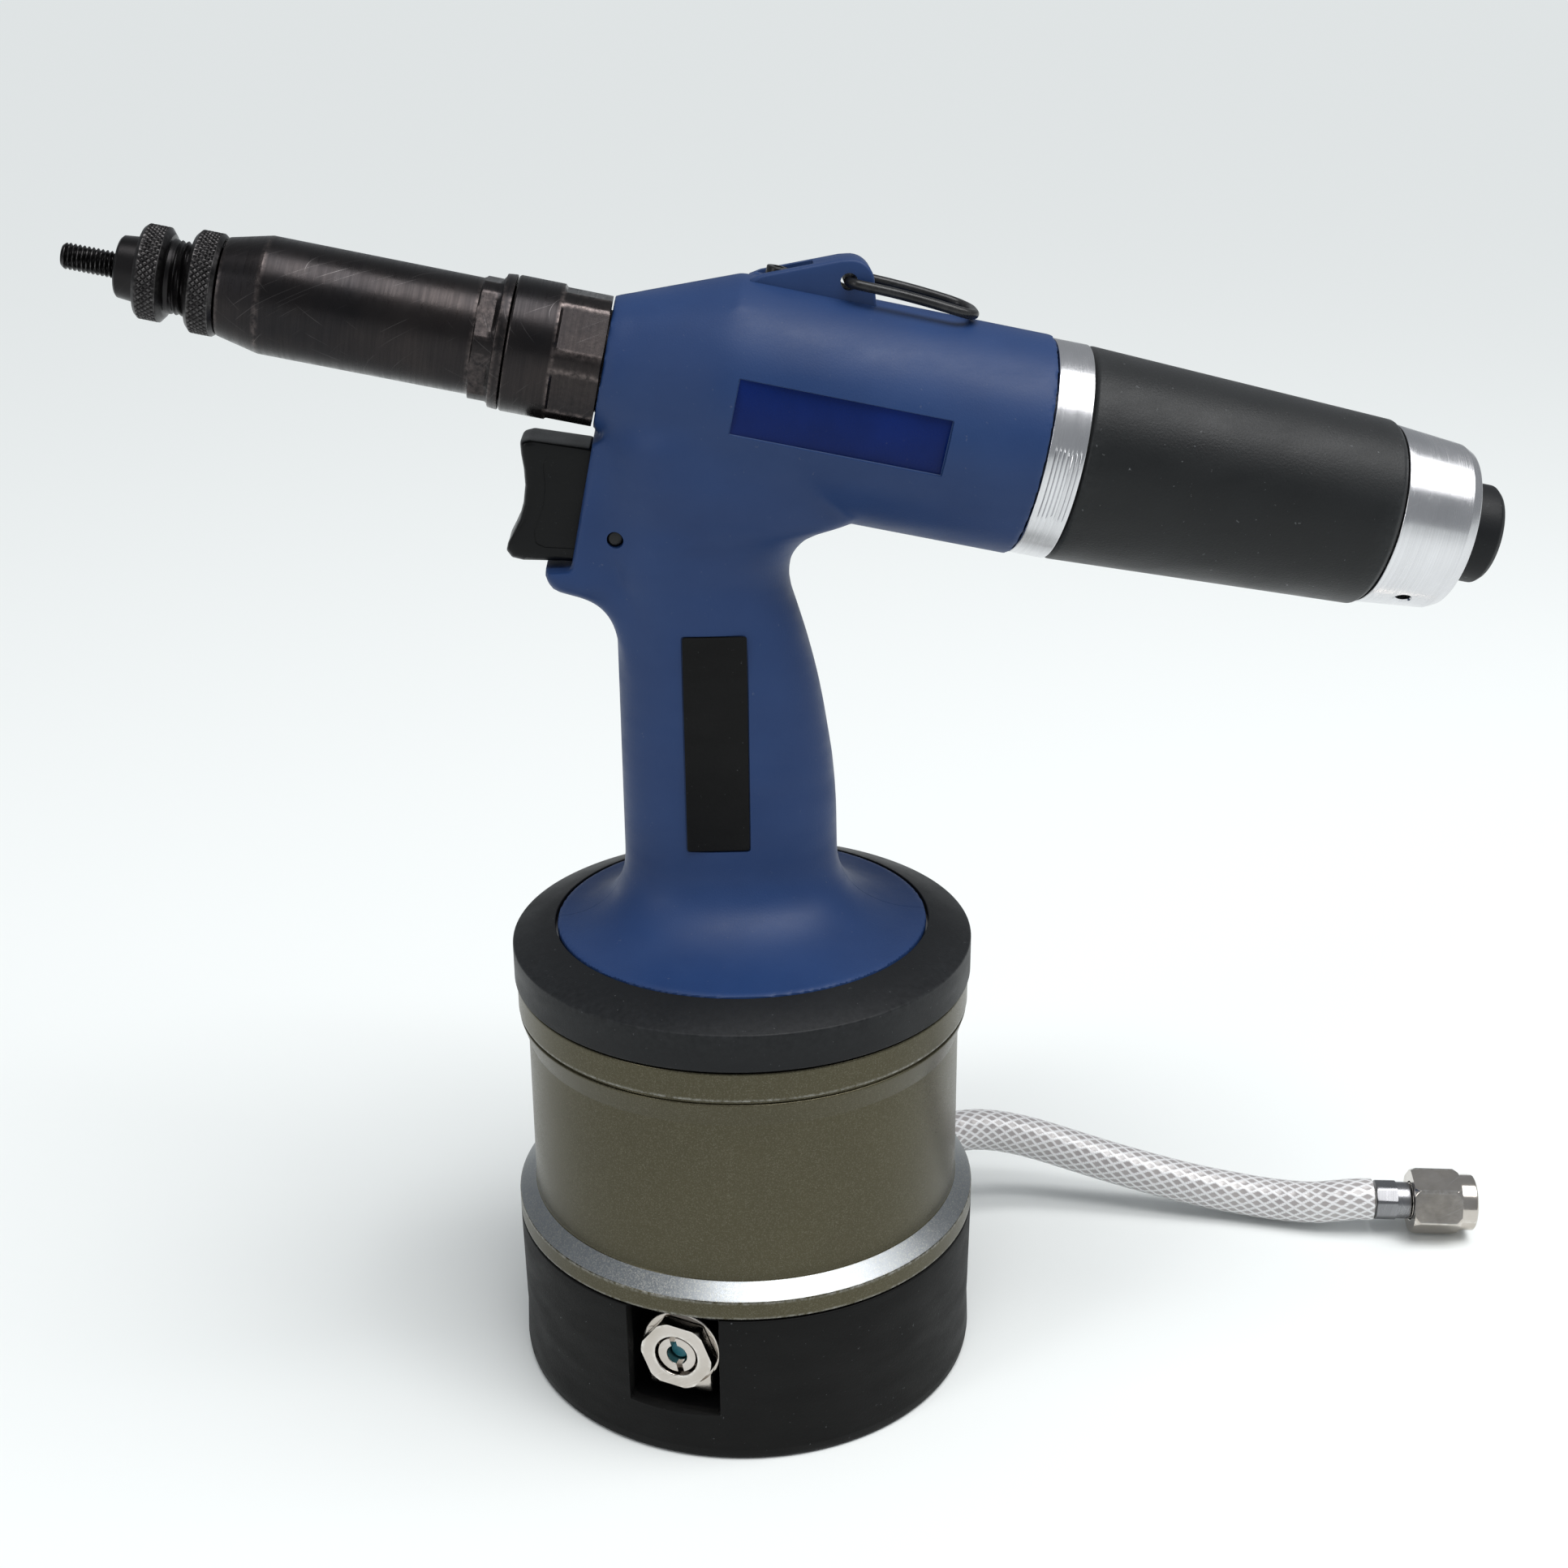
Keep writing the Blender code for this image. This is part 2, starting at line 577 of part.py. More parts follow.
# ---- hydraulic head --------------------------------------------------------------------
def head_group():
    body = turned("head_body", [(-27.0, 11.9), (-0.8, 21.7), (66.0, 21.7)], None, ALUMINIUM, BARREL)
    stem = make_cutter(rod("head_stem", 11.0, 229.4, 245.0, None, WORLD, axis=UPRIGHT))
    shape(body, stem, "UNION")
    room = make_cutter(turned("head_bore", [(-40.0, 7.6), (4.0, 7.6), (4.0, 17.0), (80.0, 17.0)],
                              None, None, BARREL))
    shape(body, room)
    port = make_cutter(rod("oil_port", 5.6, 220.0, 240.0, None, WORLD, 16, (0.0, 0.0), UPRIGHT))
    shape(body, port)
    mouth = make_cutter(rod("filler_port", 2.9, 10.0, 30.0, None, BARREL, 16, (4.6, 0.0), UPRIGHT))
    shape(body, mouth)

    turned("pull_piston",
           [(-56.0, 9.6), (-40.0, 9.6), (-39.0, 7.2), (8.0, 7.2), (8.0, 14.8), (8.6, 16.6), (12.0, 16.6),
            (18.0, 16.6), (18.6, 14.8), (18.6, 7.2),
            (52.0, 7.2)],
           [(-56.0, 7.2), (-53.4, 7.2), (-53.4, 8.6), (-45.0, 8.6), (-45.0, 4.7), (52.0, 4.7)],
           STEEL, BARREL)
    turned("chamber_plug", [(48.0, 16.6), (65.6, 16.6)], [(48.0, 7.6), (65.6, 7.6)], STEEL, BARREL)
    wire("return_spring", helix(12.0, 20.6, 46.4, 4, 10), 1.3, STEEL, BARREL)
    filler = rod("oil_filler_screw", 2.5, 19.0, 26.6, OXIDE, BARREL, 16, (4.6, 0.0), UPRIGHT)
    head = make_cutter(rod("filler_head", 2.65, 25.9, 28.6, None, BARREL, 16, (4.6, 0.0), UPRIGHT))
    shape(filler, head, "UNION")


def front_group():
    adapter = turned("barrel_adapter",
                     [(ADAPTER_FRONT + 0.3, ADAPTER_R), (-30.4, ADAPTER_R), (-30.4, 11.6), (-27.6, 11.6)],
                     [(ADAPTER_FRONT + 0.3, 13.0), (-42.6, 13.0), (-42.6, 10.2), (-31.8, 10.2),
                      (-31.8, 7.6), (-27.6, 7.6)], OXIDE, BARREL)
    flats = make_cutter(turned("hex_stock", [(-60.0, 40.0), (HEX_FRONT, 40.0)], None, None, BARREL))
    prism = make_cutter(rod("hex_prism", 16.4, -60.0, -20.0, None, BARREL, 6))
    prism.rotation_euler = (math.radians(3.0), math.pi / 2, 0)
    shape(prism, flats, "UNION")
    shape(adapter, prism, "INTERSECT")

    barrel = turned("front_barrel",
                    [(BARREL_FRONT, 10.9), (-106.3, BARREL_R), (-59.2, BARREL_R), (-58.6, 14.3),
                     (COLLAR_FRONT, 14.3), (COLLAR_FRONT, 15.0), (ADAPTER_FRONT - 1.6, 15.25),
                     (ADAPTER_FRONT, 15.25), (ADAPTER_FRONT, 12.6), (-43.2, 12.6)],
                    [(BARREL_FRONT, 8.6), (-104.0, 8.6), (-103.0, 11.0), (-43.2, 11.0)],
                    OXIDE, BARREL)
    key = make_cutter(turned("flat_stock", [(-140.0, 40.0), (-59.0, 40.0)], None, None, BARREL))
    rear_key = make_cutter(turned("flat_stock_rear", [(COLLAR_FRONT - 0.4, 40.0), (-30.0, 40.0)],
                                  None, None, BARREL))
    wrench = make_cutter(rod("wrench_prism", 15.1, -130.0, -40.0, None, BARREL, 6))
    wrench.rotation_euler = (math.radians(3.0), math.pi / 2, 0)
    shape(wrench, key, "UNION")
    shape(wrench, rear_key, "UNION")
    shape(barrel, wrench, "INTERSECT")

    turned("lock_nut",
           [(LOCK_NUT_FRONT, 10.7), (LOCK_NUT_FRONT + 0.9, 11.4), (LOCK_NUT_REAR - 0.5, 11.4),
            (LOCK_NUT_REAR, 11.0)],
           [(LOCK_NUT_FRONT, 8.6), (LOCK_NUT_REAR, 8.6)], OXIDE, BARREL)
    turned("nosepiece",
           [(NOSE_TIP, 6.3), (NOSE_TIP + 0.5, 6.8), (-133.8, 7.3), (-133.6, 9.8), (-132.8, 10.5),
            (-128.6, 10.5), (-127.4, 9.0), (-127.4, 8.2), (-104.6, 8.2)],
           [(NOSE_TIP, 3.4), (-104.6, 3.4)], OXIDE, BARREL)
    turned("mandrel", [(MANDREL_TIP, 2.2), (MANDREL_TIP + 0.8, MANDREL_R), (-90.0, MANDREL_R)],
           None, OXIDE, BARREL, ROUND_SMALL)
    turned("mandrel_holder",
           [(-100.0, 6.0), (-99.0, 6.8), (-52.9, 6.8), (-52.9, 8.2), (-48.0, 8.2)],
           [(-100.0, 3.3), (-86.0, 3.3), (-86.0, 2.6), (-64.0, 2.6), (-64.0, 4.1), (-48.0, 4.1)],
           STEEL, BARREL, ROUND_SMALL)


# ---- motor and gearbox -----------------------------------------------------------------
def gear_outline(teeth, internal=False):
    """A toothed outline with straight flanks and running clearance."""
    pitch = GEAR_MODULE * teeth / 2
    step = 2 * math.pi / teeth
    if internal:
        high, low, tip, root = pitch - 0.5, pitch + 0.8, 0.11, 0.25
    else:
        high, low, tip, root = pitch + 0.5, pitch - 0.8, 0.10, 0.25
    points = []
    for tooth in range(teeth):
        middle = tooth * step
        for radius, offset in ((low, -root), (high, -tip), (high, tip), (low, root)):
            turn = middle + offset * step
            points.append((radius * math.cos(turn), radius * math.sin(turn)))
    return points


def turn_points(points, angle):
    c, s = math.cos(angle), math.sin(angle)
    return [(x * c - y * s, x * s + y * c) for x, y in points]


def circle(radius, count=24):
    return [(radius * math.cos(2 * math.pi * i / count), radius * math.sin(2 * math.pi * i / count))
            for i in range(count)]


def gearbox_group():
    pitch_sun = GEAR_MODULE * SUN_TEETH / 2
    pitch_planet = GEAR_MODULE * PLANET_TEETH / 2
    orbit = pitch_sun + pitch_planet
    face = ALONG_X
    case = flat("gearbox_case", [circle(19.2, ROUND), gear_outline(RING_TEETH, True)], 9.8, STEEL,
                BARREL, (92.7, 0, 0), face)
    bearing = turned("front_bearing", [(79.0, 18.8), (88.2, 18.8)], [(79.0, 11.6), (88.2, 11.6)], None,
                     BARREL)
    shape(case, make_cutter(bearing), "UNION")
    carrier = turned("planet_carrier", [(78.6, 7.0), (79.6, 11.2), (87.2, 11.2)], None, STEEL, BARREL,
                     ROUND_SMALL)
    bore = make_cutter(rod("carrier_bore", 3.9, 70.0, 84.0, None, BARREL))
    shape(carrier, bore)
    for number in range(3):
        turn = 2 * math.pi * number / 3
        y, z = orbit * math.cos(turn), orbit * math.sin(turn)
        pin = make_cutter(rod("planet_pin_%d" % number, 1.5, 84.0, 97.0, None, BARREL, 12, (y, z)))
        shape(carrier, pin, "UNION")
        # Half a tooth keeps a planet's gap on the sun's tooth where an even count faces it.
        outline = turn_points(gear_outline(PLANET_TEETH), math.pi / PLANET_TEETH)
        planet = flat("planet_gear_%d" % (number + 1), [outline, circle(1.85, 16)], 8.0, STEEL, BARREL,
                      (92.6, y, z), face)
        planet.rotation_euler = face
    turned("drive_spindle", [(-55.0, 3.0), (-54.4, 3.6), (83.6, 3.6)], None, STEEL, BARREL, 12)


def motor_group():
    turned("motor_front_plate", [(98.4, 18.9), (102.4, 18.9)], [(98.4, 5.2), (102.4, 5.2)], STEEL,
           BARREL)
    liner = turned("motor_cylinder", [(102.8, 18.7), (140.4, 18.7)], None, STEEL, BARREL)
    bore = make_cutter(rod("liner_bore", 12.6, 90.0, 150.0, None, BARREL, ROUND, (0.0, 1.6)))
    shape(liner, bore)
    rotor = turned("motor_rotor", [(97.8, 2.6), (103.4, 2.6), (103.4, 8.6), (139.8, 8.6), (139.8, 2.8),
                                   (147.0, 2.8)], None, STEEL, BARREL, 30)
    sun = make_cutter(flat("sun_teeth", [gear_outline(SUN_TEETH)], 10.2, None, BARREL, (92.9, 0, 0),
                           ALONG_X))
    shape(rotor, sun, "UNION")
    form = bmesh.new()
    for number in range(5):
        turn = Matrix.Rotation(2 * math.pi * number / 5 + 0.3, 4, "X")
        made = bmesh.ops.create_cube(form, size=1.0)["verts"]
        bmesh.ops.scale(form, vec=Vector((34.4, 1.2, 5.2)) * MM, verts=made)
        bmesh.ops.translate(form, vec=Vector((121.6, 0, 7.2)) * MM, verts=made)
        bmesh.ops.transform(form, matrix=turn, verts=made)
    mesh = bpy.data.meshes.new("rotor_vanes")
    form.to_mesh(mesh)
    form.free()
    shape(rotor, make_cutter(place("rotor_vanes", mesh, None, BARREL)), "UNION")
    turned("motor_rear_plate", [(140.8, 18.9), (146.4, 18.9)], [(140.8, 3.3), (146.4, 3.3)], STEEL,
           BARREL)


def rear_group():
    turned("rear_ring", [(66.4, 21.9), (HOUSING_REAR + 0.3, 21.9), (HOUSING_REAR + 0.3, 25.1),
                         (RING_REAR, 25.1)],
           [(66.4, 17.6), (RING_REAR, 19.8)], ALUMINIUM, BARREL, 28)
    turned("rear_sleeve", [(RING_REAR + 0.3, SLEEVE_FRONT_R), (SLEEVE_REAR - 0.6, SLEEVE_REAR_R),
                           (SLEEVE_REAR, 21.3)],
           [(RING_REAR + 0.3, 21.6), (147.0, 19.7), (SLEEVE_REAR, 19.7)], BLACK, BARREL, 28)
    cap = turned("rear_cap", [(SLEEVE_REAR + 0.3, 21.2), (168.6, 19.9), (171.8, 19.2), (CAP_REAR, 18.2)],
                 [(SLEEVE_REAR + 0.3, 16.6), (165.0, 16.6), (165.0, 12.2), (CAP_REAR, 12.2)],
                 ALUMINIUM, BARREL, 28)
    hole = make_cutter(rod("cap_hole", 2.1, 5.0, 40.0, None, BARREL, 16, axis=UPRIGHT))
    swing = math.radians(-52.0)
    hole.rotation_euler = (math.pi / 2 - swing, 0, 0)
    middle = 24.0
    hole.location = Vector((162.4, -middle * math.cos(swing), middle * math.sin(swing))) * MM
    shape(cap, hole)
    turned("reverse_button", [(159.6, 14.6), (162.0, 14.6), (162.0, BUTTON_R), (181.0, BUTTON_R),
                              (BUTTON_REAR, 10.6)], None, BLACK, BARREL)
    wire("button_spring", helix(9.0, 148.2, 158.4, 3, 8), 0.7, STEEL, BARREL)


# ---- trigger, valve, hanger --------------------------------------------------------------
TRIGGER_OUTLINE = ([(-32.6, 241.2), (-46.6, 243.4), (-48.6, 242.7), (-49.2, 241.0)]
                   + [(-48.45, 237.6), (-48.2, 233.6), (-48.7, 229.4), (-49.8, 225.4),
                      (-51.6, 221.4), (-53.0, 218.6), (-53.3, 216.8), (-52.2, 215.2), (-50.0, 214.5),
                      (-26.0, 214.0), (-22.6, 217.0), (-22.2, 221.5), (-24.6, 225.6), (-30.4, 227.5),
                      (-30.9, 229.5)])


def trigger_group():
    trigger = flat("trigger", [TRIGGER_OUTLINE], 2 * TRIGGER_HALF_WIDTH, BLACK, WORLD)
    offset = Vector((TRIGGER_PIVOT[0], 0, TRIGGER_PIVOT[1])) * MM
    hole = make_cutter(rod("trigger_hole", 1.95, -20.0, 20.0, None, WORLD, 16, TRIGGER_PIVOT, ALONG_Y))
    trigger.data.transform(Matrix.Translation(trigger.rotation_euler.to_matrix().inverted() @ -offset))
    trigger.location = offset
    shape(trigger, hole)
    bevel = trigger.modifiers.new("edges", "BEVEL")
    bevel.width = 0.6 * MM
    bevel.segments = 1
    bevel.limit_method = "ANGLE"
    bevel.angle_limit = math.radians(50)
    rod("trigger_pin", 1.6, -11.2, 11.2, STEEL, WORLD, 16, TRIGGER_PIVOT, ALONG_Y)
    body = turned("valve_body", [(-25.0, 4.6), (-14.6, 4.6)], [(-25.0, 2.2), (-14.6, 2.2)], BRASS,
                  WORLD, ROUND_SMALL, ALONG_X, (0, 0, 232.5))
    turned("valve_stem", [(-30.4, 1.3), (-29.9, 1.8), (-14.0, 1.8)], None, STEEL, WORLD, 12, ALONG_X,
           (0, 0, 232.5))
    return body


def hanger_group():
    pivot_s, pivot_h = BAIL_PIVOT
    far_s, far_h = 51.0 - BAIL_WIRE_R, 27.2
    half, corner = 7.6, 2.6
    slope = (far_h - pivot_h) / (far_s - pivot_s)
    flat_loop = [(0.0, -half + corner)]
    flat_loop += [(0.0, half - corner)] + arc((corner, half - corner), corner, 180, 90, 4)[1:]
    flat_loop += arc((far_s - pivot_s - 5.5, half - 5.5), 5.5, 90, 0, 6)
    flat_loop += arc((far_s - pivot_s - 5.5, -half + 5.5), 5.5, 0, -90, 6)
    flat_loop += arc((corner, -half + corner), corner, 270, 180, 4)[:-1]
    bow = 0.5
    reach = far_s - pivot_s
    points = []
    for along, across in flat_loop:
        share = along / reach
        points.append((pivot_s + along, across, pivot_h + slope * along + bow * 4 * share * (1 - share)))
    wire("hanging_bail", points, BAIL_WIRE_R, OXIDE, BARREL, 2, True)


# ---- air hose --------------------------------------------------------------------------------
def hose_group():
    turned("hose_gland", [(42.0, 7.4), (59.6, 7.4), (59.6, 9.6), (63.6, 9.6), (67.0, 7.6)],
           [(42.0, 3.5), (66.0, 3.5), (67.0, 4.5)], NICKEL, INLET, ROUND_SMALL)
    route = smooth_route(HOSE_ROUTE, 7.0)
    wire("air_hose", route, HOSE_R, HOSE, WORLD, 4)
    turned("hose_ferrule", [(-9.8, 5.7), (-4.0, 5.7), (-4.0, 5.2), (-0.2, 5.2)],
           [(-9.8, 3.4), (-0.2, 3.4)], STEEL, HOSE_END, 8)
    nut = rod("swivel_nut", 9.6, 0.2, 12.8, NICKEL, HOSE_END, 6)
    nut.rotation_euler = (math.radians(12.0), math.pi / 2, 0)
    nose = make_cutter(turned("nut_nose", [(12.0, 7.9), (16.6, 7.9), (18.0, 6.9)], None, None, HOSE_END,
                              ROUND_SMALL))
    shape(nut, nose, "UNION")
    bore = make_cutter(turned("nut_bore", [(-5.0, 5.5), (8.0, 5.5), (8.0, 6.3), (24.0, 6.3)], None, None,
                              HOSE_END, ROUND_SMALL))
    shape(nut, bore)
    turned("hose_stem", [(-9.6, 3.0), (0.2, 3.0), (0.2, 5.1), (8.4, 5.1), (8.4, 5.8), (10.6, 5.8),
                         (11.4, 4.6)],
           [(-9.6, 2.0), (11.4, 2.0)], NICKEL, HOSE_END, ROUND_SMALL)


base_group()
regulator_group()
air_end_group()
housing_group()
head_group()
front_group()
gearbox_group()
motor_group()
rear_group()
trigger_group()
hanger_group()
hose_group()
bpy.context.view_layer.update()
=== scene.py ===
"""Looks for the air-hydraulic rivet-nut gun: fine surfaces, materials, light and camera."""
from math import copysign, cos, hypot, pi, radians, sin, sqrt, tan

import bmesh
import bpy
import numpy as np
from mathutils import Matrix, Vector


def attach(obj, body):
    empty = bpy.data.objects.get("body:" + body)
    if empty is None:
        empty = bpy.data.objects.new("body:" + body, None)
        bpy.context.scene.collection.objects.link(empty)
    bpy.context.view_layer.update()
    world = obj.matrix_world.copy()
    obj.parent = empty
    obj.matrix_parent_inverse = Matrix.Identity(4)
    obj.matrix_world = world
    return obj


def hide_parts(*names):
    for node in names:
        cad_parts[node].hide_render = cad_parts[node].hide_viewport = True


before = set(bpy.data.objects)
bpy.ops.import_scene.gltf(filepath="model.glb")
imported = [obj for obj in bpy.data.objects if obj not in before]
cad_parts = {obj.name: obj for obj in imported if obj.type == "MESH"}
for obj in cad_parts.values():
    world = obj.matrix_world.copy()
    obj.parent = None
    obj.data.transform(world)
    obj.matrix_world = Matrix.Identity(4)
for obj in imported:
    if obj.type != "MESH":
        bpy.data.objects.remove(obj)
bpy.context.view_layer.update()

MM = 0.001
TILT = radians(12)
BARREL_Z = 253.4
BRONZE_R = 59.3          # the cylinder's flange
VALVE_FACE = 56.2        # the regulator nut's outer face, from the base's axis
WRENCH_TURN = radians(3)
NUT_TURN = radians(108)
TRIGGER_PIN = (-27.8, 221.2)
BAIL_PIN = (20.4, 29)
FILLER_AT = 4.6
CASE_SCREWS = ((15, 150), (-21.5, 150), (-21.5, 190))


def at(x, y, z):
    return Matrix.Translation((x, y, z))


def spun(degrees, axis):
    return Matrix.Rotation(radians(degrees), 4, axis)


# Frames in millimetres. Each turned piece runs along its frame's local X.
BARREL = at(0, 0, BARREL_Z) @ spun(12, "Y")
UPRIGHT = spun(-90, "Y")
WINDOW = at(0, 0, 26.8) @ spun(-109.3, "Z")
INLET = at(0, 0, 26.5) @ spun(40, "Z")
HOSE_END = at(190.8, 32.6, 9.9) @ spun(-6, "Z")
PLAIN = Matrix.Identity(4)
SIDEWAYS = spun(90, "Z")


# ---- materials ----
def linear(rgb):
    return tuple((c / 12.92 if c <= 0.04045 else ((c + 0.055) / 1.055) ** 2.4) for c in rgb)


class Nodes:
    """A short way to write a material's nodes."""

    def __init__(self, name):
        self.material = bpy.data.materials.new(name)
        self.material.use_nodes = True
        self.tree = self.material.node_tree
        self.shader = self.tree.nodes["Principled BSDF"]
        self.place = self.add("ShaderNodeTexCoord").outputs["Object"]

    def add(self, kind, **values):
        node = self.tree.nodes.new(kind)
        for key, value in values.items():
            if hasattr(node, key):
                setattr(node, key, value)
            else:
                node.inputs[key].default_value = value
        return node

    def link(self, out, socket):
        self.tree.links.new(out, socket)

    def wire(self, **outputs):
        for key, out in outputs.items():
            self.link(out, self.shader.inputs[key.replace("_", " ")])

    def put(self, **values):
        for key, value in values.items():
            self.shader.inputs[key.replace("_", " ")].default_value = value

    def noise(self, scale, detail=4, stretch=(1, 1, 1), turn=(0, 0, 0), rough=0.55):
        node = self.add("ShaderNodeTexNoise", Scale=scale, Detail=detail, Roughness=rough)
        place = self.place
        if stretch != (1, 1, 1):
            for values in ({"Rotation": turn}, {"Scale": stretch}):
                mapping = self.add("ShaderNodeMapping", **values)
                self.link(place, mapping.inputs["Vector"])
                place = mapping.outputs[0]
        self.link(place, node.inputs["Vector"])
        return node.outputs["Fac"]

    def ramp(self, value, low, high, start=0, end=1):
        node = self.add("ShaderNodeMapRange", clamp=True)
        for key, limit in (("From Min", low), ("From Max", high), ("To Min", start), ("To Max",
                end)):
            node.inputs[key].default_value = limit
        self.link(value, node.inputs["Value"])
        return node.outputs[0]

    def math(self, how, a, b):
        node = self.add("ShaderNodeMath", operation=how)
        for index, value in enumerate((a, b)):
            if isinstance(value, (int, float)):
                node.inputs[index].default_value = value
            else:
                self.link(value, node.inputs[index])
        return node.outputs[0]

    def mix(self, factor, a, b):
        node = self.add("ShaderNodeMix", data_type="RGBA")
        self.link(factor, node.inputs["Factor"])
        for socket, value in ((node.inputs[6], a), (node.inputs[7], b)):
            if isinstance(value, tuple):
                socket.default_value = (*value, 1)
            else:
                self.link(value, socket)
        return node.outputs[2]

    def bump(self, height, distance, after=None):
        node = self.add("ShaderNodeBump", Distance=distance, Strength=1)
        self.link(height, node.inputs["Height"])
        if after is not None:
            self.link(after, node.inputs["Normal"])
        return node.outputs[0]

    def wear(self, scale=900, low=0.35, high=0.75):
        """Where an edge has rubbed, from the value that a piece keeps at each point."""
        attribute = self.add("ShaderNodeAttribute", attribute_name="wear")
        patchy = self.ramp(self.noise(scale, 5), low, high)
        return self.math("MULTIPLY", attribute.outputs["Fac"], patchy)


def moulded(name, colour, other, rough, grain, depth, dust, sheen=0, specular=0.5):
    """Moulded plastic or rubber: fine spark texture, cloudy tone, rubbed edges, faint dust."""
    n = Nodes(name)
    cloudy = n.ramp(n.noise(38, 5), 0.3, 0.7)
    tone = n.mix(cloudy, linear(colour), linear(other))
    pale = linear(tuple(min(1, c + 0.16) for c in other))
    tone = n.mix(n.wear(700, 0.3, 0.8), tone, pale)
    if dust:
        specks = n.ramp(n.noise(900, 3), 0.70, 0.78, 0, dust * 3)
        tone = n.mix(specks, tone, linear((0.55, 0.56, 0.57)))
    fine = n.noise(grain, 3)
    scuff = n.noise(60, 6, (1, 1, 3))
    uneven = n.math("ADD", n.ramp(scuff, 0.3, 0.75, rough - 0.07, rough + 0.08),
        n.ramp(fine, 0.3, 0.7, -0.03, 0.03))
    n.wire(Base_Color=tone, Roughness=uneven, Normal=n.bump(fine, depth))
    n.put(Specular_IOR_Level=specular, Sheen_Weight=sheen, Sheen_Roughness=0.5)
    return n.material


def metal(name, colour, other, rough, metallic=1, turn=(0, 0, 0), lines=None, line_depth=0.000006,
        grain=None, grain_depth=0.00001, worn=None, worn_rough=0.3, scratch=0, cloud=45,
        sparkle=0, spread=0.06, anisotropic=0):
    """Metal with tool marks along a direction, tone changes, scratches and worn edges."""
    n = Nodes(name)
    cloudy = n.ramp(n.noise(cloud, 6), 0.32, 0.68)
    tone = n.mix(cloudy, linear(colour), linear(other))
    rough_value = n.ramp(n.noise(cloud * 2.3, 6, rough=0.65), 0.3, 0.7, rough - spread,
        rough + spread)
    normal = None
    if lines:
        marks = n.noise(1, 3, lines, turn, 0.7)
        normal = n.bump(marks, line_depth)
        tone = n.mix(n.ramp(marks, 0.35, 0.65, 0, 0.35), tone,
            linear(tuple(c * 0.8 for c in colour)))
        rough_value = n.math("ADD", rough_value, n.ramp(marks, 0.3, 0.7, -0.05, 0.07))
    if grain:
        fine = n.noise(grain, 2)
        normal = n.bump(fine, grain_depth, normal)
    if sparkle:
        cells = n.add("ShaderNodeTexVoronoi", Scale=4200)
        n.link(n.place, cells.inputs["Vector"])
        grey = n.add("ShaderNodeRGBToBW")
        n.link(cells.outputs["Color"], grey.inputs[0])
        tone = n.mix(n.ramp(grey.outputs[0], 0.55, 0.95, 0, sparkle), tone, linear((0.95, 0.93,
            0.85)))
        rough_value = n.math("ADD", rough_value, n.ramp(grey.outputs[0], 0.2, 0.8, -0.06, 0.06))
    if scratch:
        first = n.ramp(n.noise(1, 2, (40, 40, 5200), (0.5, 0.4, 0.2)), 0.69, 0.72, 0, scratch)
        second = n.ramp(n.noise(1, 2, (4600, 45, 45), (0.2, 0.7, 0.9)), 0.70, 0.73, 0, scratch)
        both = n.math("MAXIMUM", first, second)
        tone = n.mix(both, tone, linear(tuple(min(1, c + 0.35) for c in other)))
    if worn:
        rubbed = n.wear()
        tone = n.mix(rubbed, tone, linear(worn))
        lower = n.math("MULTIPLY", rubbed, rough - worn_rough)
        rough_value = n.math("SUBTRACT", rough_value, lower)
    n.wire(Base_Color=tone, Roughness=rough_value)
    if normal is not None:
        n.wire(Normal=normal)
    n.put(Metallic=metallic, Anisotropic=anisotropic)
    return n.material


BARREL_TURN = (0, -TILT, 0)
BLUE = moulded("blue_plastic", (0.112, 0.205, 0.37), (0.132, 0.23, 0.402), 0.49, 2300, 0.00003,
    0.05,
    specular=0.27)
NAVY = moulded("navy_plate", (0.02, 0.10, 0.30), (0.03, 0.13, 0.38), 0.28, 1500, 0.00001, 0.03,
    specular=0.12)
BLACK = moulded("black_plastic", (0.07, 0.076, 0.084), (0.09, 0.096, 0.104), 0.47, 2600, 0.00003,
    0.10, specular=0.2)
SOFT = moulded("black_rubber", (0.07, 0.077, 0.082), (0.09, 0.098, 0.104), 0.44, 1900, 0.00006,
    0.14,
    0.08, specular=0.24)
PAD = moulded("grip_rubber", (0.055, 0.055, 0.055), (0.075, 0.075, 0.075), 0.70, 1600, 0.00008,
    0.08,
    specular=0.15)
BOOT = moulded("boot_rubber", (0.045, 0.045, 0.044), (0.065, 0.065, 0.063), 0.55, 1900, 0.00005,
    0.10,
    specular=0.13)
TRIGGER = moulded("trigger_plastic", (0.035, 0.037, 0.04), (0.055, 0.058, 0.06), 0.36, 2400,
    0.00002, 0.05, specular=0.18)
BRONZE = metal("bronze_anodised", (0.30, 0.285, 0.228), (0.33, 0.313, 0.248), 0.34, 0.97, cloud=14,
    grain=3200, grain_depth=0.000006, sparkle=0.06, worn=(0.80, 0.80, 0.79), worn_rough=0.24,
    spread=0.03)
BEVEL = metal("bare_bevel", (0.52, 0.535, 0.545), (0.60, 0.615, 0.63), 0.38, 1, cloud=20,
    grain=3000,
    grain_depth=0.000008, sparkle=0.25, spread=0.03)
OXIDE = metal("black_steel", (0.145, 0.142, 0.15), (0.205, 0.188, 0.186), 0.28, 0.92, BARREL_TURN,
    (1700, 60, 60), 0.000006, grain=1800, grain_depth=0.000008, worn=(0.46, 0.42, 0.41),
    worn_rough=0.24, scratch=0.22, spread=0.07)
THREAD = metal("black_thread", (0.12, 0.117, 0.12), (0.165, 0.158, 0.16), 0.31, 0.9,
    worn=(0.45, 0.44, 0.44), grain=2600, scratch=0.12)
